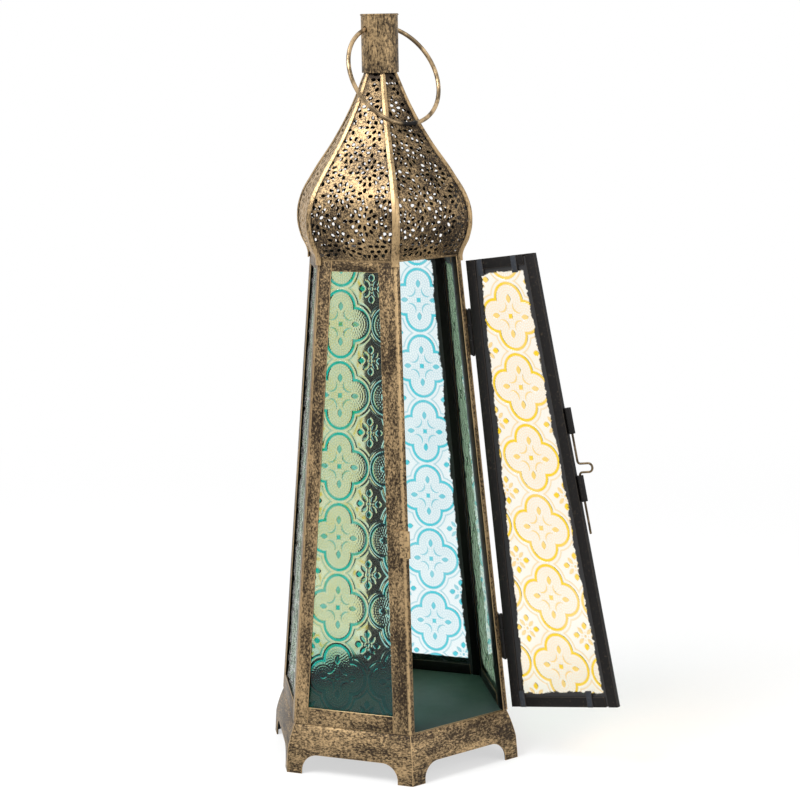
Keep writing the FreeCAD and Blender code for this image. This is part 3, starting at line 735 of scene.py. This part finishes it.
def rib_tree():
    """A section swept along a path, narrowing to its top."""
    tree, given = node_group("Seam strip", {"Section": "Object", "Top share": "Float"})
    along = add(tree, "GeometryNodeSplineParameter").outputs["Factor"]
    narrowing = between(tree, along, 1.0, given["Top share"])
    path = put(tree, "GeometryNodeResampleCurve", {"Curve": given["Geometry"], "Count": RIB_POINTS})
    upright = put(tree, "GeometryNodeSetCurveNormal", {"Curve": path, "Normal": (0, 1, 0)}, mode="FREE")
    section = add(tree, "GeometryNodeObjectInfo", {"Object": given["Section"]}).outputs["Geometry"]
    strip = put(tree, "GeometryNodeCurveToMesh", {"Curve": upright, "Profile Curve": section,
                                                  "Scale": narrowing, "Fill Caps": True})
    finish_group(tree, strip, given["Finish"])
    return tree


def folded_section(dome):
    """The closed outline of a strip folded over a corner of the dome, across in x and inward in y."""
    half = dome.rib_width / 2
    across = [half * (2 * k / RIB_SECTION_STEPS - 1) for k in range(RIB_SECTION_STEPS + 1)]
    top = [Vector((x, SPREAD * (math.hypot(x, RIB_BEND) - RIB_BEND), 0)) for x in across]
    under = [p + Vector((0, dome.rib_sheet, 0)) for p in reversed(top)]
    return closed_line("section", top + under)


class LANTERN_OT_ribs(bpy.types.Operator):
    """Make the six seam strips that cover the corners of the dome"""
    bl_idname = "lantern.ribs"
    bl_label = "Dome ribs"

    def execute(self, context):
        dome = context.scene.lantern_dome
        metal = context.scene.lantern_metal
        finish = brushed_brass("rib brass", metal, share=0.66, streak=(1, 1, 0.25), stroke=(2, 2, 0.5),
                               rough=(0.32, 0.5))
        low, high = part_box("rib_1")
        over = [Vector((radius * MM + dome.rib_proud, 0, z * MM)) for z, radius in DOME_OUTLINE[:-1]]
        foot, head = Vector((over[0].x, 0, low.z)), Vector((RIB_HEAD_RADIUS, 0, high.z))
        path = smooth_curve("rib path", [foot, *over, head])
        section = folded_section(dome)
        sweep = path.modifiers.new("strip", "NODES")
        sweep.node_group = rib_tree()
        set_inputs(sweep, section=section, top_share=RIB_HEAD_SHARE, finish=finish)
        strip = bake(path, "strip")
        outward(strip.data)
        soften(strip.data, 50)
        for side in range(SIDES):
            number = side + 1
            rib = turned(strip, "seam_%d" % number, DOOR_FACE - STEP * side + STEP / 2)
            fit(rib, finish, "antique_brass", "lantern", "rib_%d" % number)
        discard(path, section, strip)
        return {"FINISHED"}


# ---------------------------------------------------------------- collar and ring
RING_PIVOT = Vector(next(joint for joint in frame["joints"] if joint["child"] == "ring")["pos_m"])
RING_RADIUS = 26.7 * MM
RING_WIRE = 1.1 * MM
RING_HOLE = 1.6 * MM
RING_STEPS = 160
COLLAR_WALL = 0.8 * MM
COLLAR_RIM = 0.35 * MM
COLLAR_STEPS = 96


class LANTERN_OT_collar(bpy.types.Operator):
    """Make the collar tube with its rolled rim and the two holes for the ring"""
    bl_idname = "lantern.collar"
    bl_label = "Collar"

    def execute(self, context):
        low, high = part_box("collar")
        radius = (high.x - low.x) / 2
        bore, rim = radius - COLLAR_WALL, radius + COLLAR_RIM
        outline = [(bore, low.z), (radius, low.z), (radius, high.z - 3 * COLLAR_RIM),
                   (rim, high.z - 2 * COLLAR_RIM), (rim, high.z - COLLAR_RIM), (radius, high.z),
                   (bore, high.z)]
        vertices = [polar(math.tau * k / COLLAR_STEPS, r, z) for k in range(COLLAR_STEPS) for r, z in outline]
        count = len(outline)
        faces = []
        for k in range(COLLAR_STEPS):
            here, there = k * count, (k + 1) % COLLAR_STEPS * count
            for j in range(count):
                after = (j + 1) % count
                faces.append((here + j, there + j, there + after, here + after))
        tube = mesh_object("tube", vertices, faces)
        outward(tube.data)
        drill = bmesh.new()
        across = Matrix.Translation((0, 0, RING_PIVOT.z)) @ Matrix.Rotation(math.tau / 4, 4, "Y")
        bmesh.ops.create_cone(drill, cap_ends=True, segments=24, radius1=RING_HOLE, radius2=RING_HOLE,
                              depth=4 * radius, matrix=across)
        mesh = bpy.data.meshes.new("drill")
        drill.to_mesh(mesh)
        drill.free()
        bit = linked("drill", mesh)
        holes = tube.modifiers.new("holes", "BOOLEAN")
        holes.object = bit
        holes.solver = "EXACT"
        collar = bake(tube, "collar_tube")
        discard(tube, bit)
        soften(collar.data, 30)
        mark_inside(collar.data)
        finish = brushed_brass("collar brass", context.scene.lantern_metal, share=0.48, streak=(1, 1, 0.2))
        fit(collar, finish, "antique_brass", "lantern", "collar")
        return {"FINISHED"}


class LANTERN_OT_ring(bpy.types.Operator):
    """Make the wire ring that the lantern hangs from, with its soldered joint"""
    bl_idname = "lantern.ring"
    bl_label = "Ring"

    def execute(self, context):
        points = corners_of("ring")
        centre = sum(points, Vector()) / len(points)
        lean = math.atan2(centre.y, RING_PIVOT.z - centre.z)
        aside, down = Vector((1, 0, 0)), Vector((0, math.sin(lean), -math.cos(lean)))
        turns = [math.tau * k / RING_STEPS for k in range(RING_STEPS)]
        wire = closed_line("ring", [centre + (aside * math.cos(turn) + down * math.sin(turn)) * RING_RADIUS
                                    for turn in turns])
        wire.data.bevel_depth = RING_WIRE
        wire.data.bevel_resolution = 5
        ring = bake(wire, "hanging_ring")
        discard(wire)
        outward(ring.data)
        soften(ring.data, 60)
        finish = drawn_wire("ring wire", context.scene.lantern_metal.wire, joint=centre + down * RING_RADIUS)
        fit(ring, finish, "wire_brass", "ring", "ring")
        return {"FINISHED"}


# ---------------------------------------------------------------- glass
# for each pane, its colour, record slot, outward heading in degrees, and in millimetres the place of one
# quatrefoil across and up and the width of the paint along its edges
# the front left pane takes the darker, greener copy of the aqua glass, painted shade and amber light from
# what shows through it
PANES = {"pane_front_left": ("shaded_aqua", "aqua_glass", -150.0, (-7.7, 228.4), 2.5),
         "pane_far_left": ("green", "green_glass", 150.0, (0.0, 240.0), 3.0),
         "pane_back_left": ("amber", "amber_glass", 90.0, (3.0, 236.0), 4.5),
         "pane_back_right": ("aqua", "aqua_glass", 30.0, (-4.0, 231.5), 5.0),
         "pane_right": ("green", "green_glass", -30.0, (5.0, 238.0), 4.5),
         "door_pane": ("amber", "amber_glass", 20.5, (-0.8, 159.1), 6.6)}
# how much deeper a colour is painted at the pane's foot, as painted shade
FOOT_SHADE_DEPTHS = {"shaded_aqua": 0.6}

# the pressed pattern in millimetres: a quatrefoil of four lobes filled with pearls, and flowers between
REPEAT = 34.5
LOBE_RADIUS = 8.3
LOBE_REACH = 8.2
FIELD_EDGE = 1.15
FIELD_EYE = 1.9
PEARL_ROWS = 4
PEARL_START = 1.9
PEARL_PITCH = 1.3
PEARL_RADIUS = 0.44
# middle and half width of the bands round the lobes
OUTLINE = (-0.5, 0.8)
HALO = (1.9, 0.42)
# centre, half length and half width of the pointed ovals
PETAL = (8.5, 2.3, 1.4)
BUD = (5.2, 1.9, 1.5)
LEAF = (3.6, 2.2, 1.05)
PETAL_GAP = 0.2
# centre, radius, half width and half angle of the crescents
CRESCENT = (5.3, 3.4, 0.55, math.radians(75))
THIN_TIP = 0.02
CENTRE_EYE = 1.1
FLOWER_EYE = 0.75
SEED = (1.9, 0.4)
SOFT_EDGE = 0.3
CLEAR_TINT = 0.04
BACK_TINT = 0.1
# height of the plain ground and of the pattern as shares of the relief, and the slow waves in it
GROUND_SHARE, PATTERN_SHARE, WAVE_SHARE = 0.12, 0.78, 0.025
PLAIN_EDGE = 0.3
# waves in radians per millimetre across and up
WAVES = ((0.31, 0.11), (-0.07, 0.23))


def band(distance, middle, half_width):
    return np.clip((half_width + SOFT_EDGE / 2 - np.abs(distance - middle)) / SOFT_EDGE, 0, 1)


def blob(distance):
    """One inside a shape whose distance is negative, zero outside."""
    return np.clip(0.5 - distance / SOFT_EDGE, 0, 1)


def leaf(along, aside, half_length, half_width):
    """Distance-like value of a pointed oval."""
    share = np.clip(np.abs(along) / half_length, 0, 1)
    return np.where(np.abs(along) < half_length, np.abs(aside) - half_width * (1 - share ** 2), half_width)


def pressed_pattern(x, y):
    """Height and depth of colour, from 0 to 1, of the pressed pattern at places in millimetres."""
    half = REPEAT / 2
    cell_x = np.abs((x + half) % REPEAT - half)
    cell_y = np.abs((y + half) % REPEAT - half)
    far, near = np.maximum(cell_x, cell_y), np.minimum(cell_x, cell_y)
    from_lobe = np.hypot(far - LOBE_REACH, near)
    edge = from_lobe - LOBE_RADIUS
    inside = edge < -FIELD_EDGE
    height = np.zeros_like(x)
    tint = np.full_like(x, CLEAR_TINT)

    def press(mask, up, dark):
        np.maximum(height, mask * up, out=height)
        np.maximum(tint, mask * dark, out=tint)

    turn = np.arctan2(near, far - LOBE_REACH)
    pearls = np.zeros_like(x)
    for row in range(PEARL_ROWS):
        radius = LOBE_RADIUS - PEARL_START - PEARL_PITCH * row
        slice_angle = math.tau / round(math.tau * radius / PEARL_PITCH)
        off = (turn + slice_angle / 2) % slice_angle - slice_angle / 2
        pearls = np.maximum(pearls, blob(np.hypot(from_lobe - radius, from_lobe * off) - PEARL_RADIUS))
    petal = leaf(far - PETAL[0], near, *PETAL[1:])
    clear = np.clip((petal - PETAL_GAP) / (2 * PETAL_GAP), 0, 1) * inside
    press(pearls * clear, 0.5, 0.0)
    press((1 - pearls) * clear * (from_lobe > FIELD_EYE), 0.0, 0.4)
    press(blob(petal), 0.9, 0.95)
    centre, radius, half_width, half_angle = CRESCENT
    arc_x, arc_y = centre - cell_x, centre - cell_y
    arc_turn = np.arctan2(arc_y - arc_x, arc_x + arc_y)
    swell = np.clip(1 - (arc_turn / half_angle) ** 2, 0, 1)
    crescent = np.abs(np.hypot(arc_x, arc_y) - radius) - half_width * swell
    press(blob(crescent) * (swell > THIN_TIP), 0.9, 0.9)
    press(blob(np.hypot(far, near) - CENTRE_EYE), 0.9, 0.9)
    press(band(edge, *OUTLINE), 1.0, 1.0)
    press(band(edge, *HALO), 0.6, 0.7)

    flower_x, flower_y = np.abs(half - cell_x), np.abs(half - cell_y)
    out, aside = np.maximum(flower_x, flower_y), np.minimum(flower_x, flower_y)
    press(blob(leaf(out - BUD[0], aside, *BUD[1:])), 1.0, 1.0)
    along, across = (flower_x + flower_y) * math.sqrt(0.5), (flower_x - flower_y) * math.sqrt(0.5)
    press(blob(leaf(along - LEAF[0], across, *LEAF[1:])), 0.7, 0.85)
    press(blob(np.hypot(out, aside) - FLOWER_EYE), 0.9, 0.9)
    press(blob(np.hypot(out - SEED[0], aside) - SEED[1]), 0.7, 0.7)
    return height, tint


def slab_frame(node, heading):
    """A pane's two foot and two head corners on its outer face, its outward direction and its thickness."""
    points = corners_of(node)
    out = polar(math.radians(heading))
    pairs = []
    for level in (points[:4], points[4:]):
        facing = sorted(level, key=lambda p: p.dot(out))
        inner, outer = facing[:2], facing[2:]
        side = Vector((-out.y, out.x, 0))
        outer.sort(key=lambda p: p.dot(side))
        inner.sort(key=lambda p: p.dot(side))
        pairs.append((outer, inner))
    foot, head = pairs
    across = (foot[0][1] - foot[0][0]).normalized()
    up = ((head[0][0] + head[0][1]) / 2 - (foot[0][0] + foot[0][1]) / 2)
    normal = across.cross(up).normalized()
    if normal.dot(out) < 0:
        normal.negate()
    thickness = abs((foot[0][0] - foot[1][0]).dot(normal))
    return foot[0], head[0], normal, thickness


def pane_mesh(name, node, heading, phase, glass):
    """A closed pane: a fine outer face that carries the pressed relief, and a plain inner face."""
    (foot_left, foot_right), (head_left, head_right), normal, thickness = slab_frame(node, heading)
    width = (foot_right - foot_left).length
    rise = ((head_left + head_right) / 2 - (foot_left + foot_right) / 2).length
    columns, rows = round(width / glass.grid), round(rise / glass.grid)
    share = np.linspace(0, 1, rows + 1)[:, None, None]
    aside = np.linspace(0, 1, columns + 1)[None, :, None]
    a, b, c, d = (np.array(p)[None, None, :] for p in (foot_left, foot_right, head_left, head_right))
    face = (a * (1 - aside) + b * aside) * (1 - share) + (c * (1 - aside) + d * aside) * share
    half = (width * (1 - share) + (head_right - head_left).length * share) / 2
    x = ((aside * 2 - 1) * half)[:, :, 0] / MM
    z = face[:, :, 2] / MM
    u = (x - phase[0]) * REPEAT * MM / glass.pitch_across
    v = (z - phase[1]) * REPEAT * MM / glass.pitch_up
    height, tint = pressed_pattern(u, v)
    wave = np.prod([np.sin(x * across + z * up) for across, up in WAVES], axis=0)
    border = np.minimum(np.minimum(half[:, :, 0] / MM - np.abs(x), (share * rise)[:, :, 0] / MM),
                        ((1 - share) * rise)[:, :, 0] / MM)
    level = np.clip(GROUND_SHARE + PATTERN_SHARE * height + WAVE_SHARE * wave, 0, 1)
    level[border < PLAIN_EDGE] = 0.0
    outward_way = np.array(normal)
    shape = face - outward_way * ((1 - level) * glass.relief)[:, :, None]
    ring = [(0, k) for k in range(columns)] + [(k, columns) for k in range(rows)]
    ring += [(rows, columns - k) for k in range(columns)] + [(rows - k, 0) for k in range(rows)]
    index = np.arange((rows + 1) * (columns + 1)).reshape(rows + 1, columns + 1)
    back_start = index.size
    back = [face[spot] - outward_way * thickness for spot in ring]
    vertices = np.concatenate([shape.reshape(-1, 3), np.array(back)])
    quads = np.stack([index[:-1, :-1], index[:-1, 1:], index[1:, 1:], index[1:, :-1]], -1).reshape(-1, 4)
    faces = [tuple(quad) for quad in quads.tolist()]
    total = len(ring)
    for k, spot in enumerate(ring):
        after = ring[(k + 1) % total]
        faces.append((int(index[after]), int(index[spot]), back_start + k, back_start + (k + 1) % total))
    bottom = [back_start + k for k in range(columns + 1)]
    faces.append(tuple([back_start + total - 1, back_start + columns + 1] + bottom[::-1]))
    for k in range(1, rows - 1):
        low_left, high_left = back_start + total - k, back_start + total - k - 1
        low_right, high_right = back_start + columns + k, back_start + columns + k + 1
        faces.append((high_left, high_right, low_right, low_left))
    top = [back_start + columns + rows + k for k in range(columns + 1)]
    faces.append(tuple([back_start + columns + rows - 1, back_start + total - rows + 1] + top[::-1]))
    pane = mesh_object(name, vertices, faces)
    for mark_name, front, behind in (("tint", tint.ravel(), BACK_TINT), ("pressed", np.ones(tint.size), 0.0)):
        values = np.concatenate([front, np.full(len(back), behind)])
        mark(pane.data, mark_name, values.astype(np.float32))
    if sum(p.normal.dot(normal) for p in pane.data.polygons[:columns]) < 0:
        pane.data.flip_normals()
    soften(pane.data, 60)
    borders = []
    for start, stop, inside in ((foot_left, head_left, foot_right), (foot_right, head_right, foot_left),
                                (foot_left, foot_right, head_left), (head_left, head_right, foot_left)):
        inward = normal.cross(stop - start).normalized()
        if inward.dot(inside - start) < 0:
            inward.negate()
        borders.append((inward, inward.dot(start)))
    return pane, borders


class LANTERN_OT_glass(bpy.types.Operator):
    """Make the six panes of pressed coloured glass"""
    bl_idname = "lantern.glass"
    bl_label = "Pressed glass"

    def execute(self, context):
        glass = context.scene.lantern_glass
        for node, (tint, kind, heading, phase, paint) in PANES.items():
            name = node.replace("pane_", "glass_").replace("door_pane", "glass_door")
            pane, borders = pane_mesh(name, node, heading, phase, glass)
            deep, thin = getattr(glass, tint + "_thick"), getattr(glass, tint + "_thin")
            finish = pressed_glass(name + " finish", deep, thin, paint * MM, borders, FOOT_SHADE_DEPTHS.get(tint, 0.0))
            fit(pane, finish, kind, body_of(node), node)
        return {"FINISHED"}


# ---------------------------------------------------------------- sheet metal
def rubbed_copy(node, width):
    """A copy of a sheet-metal node whose edges are rounded as worn folds are, the rounded faces taking the
    edge finish with its painted highlight.
    """
    mesh = NODES[node].data.copy()
    merged(mesh)
    two_finishes(mesh)
    rough = linked("rough", mesh)
    edges = rough.modifiers.new("edges", "BEVEL")
    edges.width = width
    edges.segments = 2
    edges.limit_method = "ANGLE"
    edges.angle_limit = math.radians(30)
    edges.use_clamp_overlap = True
    # the rounded edge faces take the edge finish, which paints a highlight on them as well as wear
    edges.material = 1
    copy = bake(rough, "sheet_" + node)
    discard(rough)
    # the skirt's upward faces take the inside's black as painted shade in the gap under the rails
    mark_inside(copy.data, shaded_ledges=node == "skirt")
    soften(copy.data, 40)
    return copy


POSTS = ("post_front", "post_left", "post_far_left", "post_back", "post_far_right", "post_right")
GLAZED_FACES = ("front_left", "far_left", "back_left", "back_right", "right")
# how far the rubbed brass and painted highlight reach beside a post's fold, and how much lighter the rubbed
# floor paint is
POST_WEAR_AND_HIGHLIGHT = 0.35 * MM
FLOOR_RUB = 1.5
# sheet and rub of the door's parts; the edges' black and rub are lighter, as rub and as a painted highlight
DOOR_RUB = (0.06, 0.045, 0.03)
HINGE_RUB = (0.03, 0.028, 0.026)
HIGHLIGHT_EDGE_BLACK, HIGHLIGHT_EDGE_RUB = (0.035, 0.028, 0.022), (0.12, 0.08, 0.05)
TAB_GREY, TAB_RUB = (0.03, 0.034, 0.042), (0.1, 0.1, 0.1)
LATCH_DARK = 0.35
# worn edges of the latch and of the other parts of the door as shares of those of the body
LATCH_FOLD, DOOR_FOLD = 0.4, 0.8


class LANTERN_OT_body(bpy.types.Operator):
    """Give the skirt, floor, posts, rails and crown their worn edges, lighter as a painted highlight, and
    their patina
    """
    bl_idname = "lantern.body"
    bl_label = "Body sheet metal"

    def execute(self, context):
        metal = context.scene.lantern_metal
        skirt = brushed_brass("skirt brass", metal, share=0.46, streak=(0.4, 0.4, 1.3),
                              stroke=(0.5, 0.5, 2.2))
        posts = brushed_brass("post brass", metal, share=0.44, streak=(1, 1, 0.6), stroke=(1.5, 1.5, 0.5),
                              fold=POST_WEAR_AND_HIGHLIGHT)
        rails = brushed_brass("rail brass", metal, share=0.42, streak=(0.5, 0.5, 1), stroke=(0.5, 0.5, 2))
        inside = blackened("floor paint", metal.floor, [channel * FLOOR_RUB for channel in metal.floor])
        finishes = {"skirt": skirt, "crown_plate": rails, "floor_plate": inside, "latch_catch": posts}
        for node in POSTS:
            finishes[node] = posts
        for face in GLAZED_FACES:
            finishes["rail_bottom_" + face] = rails
            finishes["rail_top_" + face] = rails
        slots = {"floor_plate": "blackened_metal", "crown_plate": "blackened_metal"}
        # bright brass on the worn edges, which is also a painted highlight on them
        edge = brushed_brass("worn edge brass", metal, share=0.95, rough=(0.28, 0.42))
        for node, finish in finishes.items():
            copy = rubbed_copy(node, metal.fold)
            fit(copy, finish, slots.get(node, "antique_brass"), "lantern", node, edge=edge)
        return {"FINISHED"}


class LANTERN_OT_door(bpy.types.Operator):
    """Give the door frame, its tabs, the hinges and the latch their finish"""
    bl_idname = "lantern.door"
    bl_label = "Door and hinges"

    def execute(self, context):
        metal = context.scene.lantern_metal
        frame_black = blackened("door black", metal.black, DOOR_RUB)
        hinge_black = blackened("hinge black", metal.black, HINGE_RUB, rough=(0.3, 0.5))
        # lighter black on the door's edges, as rub and as a painted highlight
        edge = blackened("door edge", HIGHLIGHT_EDGE_BLACK, HIGHLIGHT_EDGE_RUB, rough=(0.35, 0.5))
        tab_grey = blackened("tab grey", TAB_GREY, TAB_RUB)
        for node in sorted(NODES):
            if NODES[node].hide_render:
                continue
            if node.startswith("door_tab"):
                finish = tab_grey
            elif node.startswith("hinge"):
                finish = hinge_black
            elif node == "latch_bolt":
                finish = drawn_wire("latch wire", [channel * LATCH_DARK for channel in metal.wire])
            else:
                finish = frame_black
            copy = rubbed_copy(node, metal.fold * (LATCH_FOLD if node.startswith("latch") else DOOR_FOLD))
            kind = "wire_brass" if node == "latch_bolt" else "blackened_metal"
            fit(copy, finish, kind, body_of(node), node, edge=finish if node == "latch_bolt" else edge)
        return {"FINISHED"}


# ---------------------------------------------------------------- studio
FLOOR_SPAN = 6.0
# lightness of the floor's fibres
PAPER_DULL, PAPER_BRIGHT = 0.92, 0.96
# the floor glows more from one distance to another, and least under the lantern
GLOW_NEAR, GLOW_FAR, LEAST_GLOW = 0.15, 0.9, 0.6
SKY_LIGHT = 0.6
# azimuth in degrees, distance and height of each lamp, the height it looks at, and its size
LAMPS = {"key": (-180, 0.85, 1.3, 0.2, 0.7), "fill": (-70, 1.4, 0.7, 0.18, 0.9)}


def lamp(name, place, aim, size, power):
    """A square lamp that looks at a height on the lantern's axis."""
    light = bpy.data.lights.new(name, "AREA")
    light.energy = power
    light.size = size
    piece = linked(name, light)
    piece.location = place
    piece.rotation_euler = (Vector((0, 0, aim)) - place).to_track_quat("-Z", "Y").to_euler()


def seen_directly(tree):
    """One for rays from the camera and for those reflected or let through by metal and glass."""
    rays = add(tree, "ShaderNodeLightPath").outputs
    first = maths(tree, "MAXIMUM", rays["Is Camera Ray"], rays["Is Glossy Ray"])
    return maths(tree, "MAXIMUM", first, rays["Is Transmission Ray"])


class LANTERN_OT_stage(bpy.types.Operator):
    """Set the pale floor, the soft lamps, the white world and the camera"""
    bl_idname = "lantern.stage"
    bl_label = "Stage and camera"

    def execute(self, context):
        stage = context.scene.lantern_stage
        corners = [(x * FLOOR_SPAN, y * FLOOR_SPAN, 0) for x, y in ((-1, -1), (1, -1), (1, 1), (-1, 1))]
        floor = mesh_object("floor", corners, [(0, 1, 2, 3)])
        paper, tree = new_material("floor paper")
        fibre = noise(tree, 300.0)
        tone = mixed(tree, fibre, rgba([PAPER_DULL] * 3), rgba([PAPER_BRIGHT] * 3))
        matte = put(tree, "ShaderNodeBsdfDiffuse", {"Color": tone})
        glow = put(tree, "ShaderNodeEmission", {"Color": (1, 1, 1, 1), "Strength": 1.0})
        away = measure(tree, "LENGTH", object_place(tree))
        whiter = smooth_range(tree, away, GLOW_NEAR, GLOW_FAR, LEAST_GLOW, 1.0)
        share = maths(tree, "MULTIPLY", seen_directly(tree), whiter)
        finish_tree(tree, put(tree, "ShaderNodeMixShader", {0: share, 1: matte, 2: glow}))
        floor.data.materials.append(paper)

        world = bpy.data.worlds.new("studio")
        context.scene.world = world
        world.use_nodes = True
        sky = world.node_tree
        sky.nodes.clear()
        soft = put(sky, "ShaderNodeBackground", {"Color": (1, 1, 1, 1), "Strength": SKY_LIGHT})
        white = put(sky, "ShaderNodeBackground", {"Color": (1, 1, 1, 1), "Strength": 1.0})
        both = put(sky, "ShaderNodeMixShader", {0: seen_directly(sky), 1: soft, 2: white})
        add(sky, "ShaderNodeOutputWorld", {"Surface": both})

        for name, (azimuth, distance, height, aim, size) in LAMPS.items():
            lamp(name, polar(math.radians(azimuth), distance, height), aim, size, getattr(stage, name))

        camera = bpy.data.cameras.new("camera")
        camera.lens = stage.lens
        camera.sensor_width = 36
        camera.clip_end = 20
        piece = linked("camera", camera)
        heading, pitch = stage.heading, stage.pitch
        ahead = polar(heading, math.cos(pitch), -math.sin(pitch))
        right = Vector((math.sin(heading), -math.cos(heading), 0))
        up = right.cross(ahead)
        tilt_right = right * math.cos(stage.roll) + up * math.sin(stage.roll)
        tilt_up = up * math.cos(stage.roll) - right * math.sin(stage.roll)
        place = Matrix((tilt_right, tilt_up, -ahead)).transposed().to_4x4()
        place.translation = polar(stage.azimuth, stage.distance, stage.height)
        piece.matrix_world = place
        context.scene.camera = piece
        context.scene.view_settings.view_transform = "Standard"
        return {"FINISHED"}


class LANTERN_PT_panel(bpy.types.Panel):
    bl_idname = "LANTERN_PT_panel"
    bl_label = "Lantern"
    bl_space_type = "VIEW_3D"
    bl_region_type = "UI"
    bl_category = "Lantern"

    def draw(self, context):
        for group, operators in GROUPS:
            box = self.layout.box()
            settings = getattr(context.scene, group)
            for name in settings.__annotations__:
                box.prop(settings, name)
            for operator in operators:
                box.operator(operator.bl_idname)


GROUPS = (("lantern_dome", (LANTERN_OT_dome, LANTERN_OT_ribs)),
          ("lantern_glass", (LANTERN_OT_glass,)),
          ("lantern_metal", (LANTERN_OT_collar, LANTERN_OT_ring, LANTERN_OT_body, LANTERN_OT_door)),
          ("lantern_stage", (LANTERN_OT_stage,)))
SETTINGS = {"lantern_dome": LanternDome, "lantern_glass": LanternGlass, "lantern_metal": LanternMetal,
            "lantern_stage": LanternStage}
OPERATORS = [operator for group, operators in GROUPS for operator in operators]


def register():
    for name, group in SETTINGS.items():
        bpy.utils.register_class(group)
        setattr(bpy.types.Scene, name, PointerProperty(type=group))
    for kind in OPERATORS + [LANTERN_PT_panel]:
        bpy.utils.register_class(kind)


def unregister():
    for kind in [LANTERN_PT_panel] + OPERATORS[::-1]:
        bpy.utils.unregister_class(kind)
    for name, group in SETTINGS.items():
        delattr(bpy.types.Scene, name)
        bpy.utils.unregister_class(group)


def main():
    register()
    for operator in OPERATORS:
        area, action = operator.bl_idname.split(".")
        getattr(getattr(bpy.ops, area), action)()


if __name__ == "__main__":
    main()
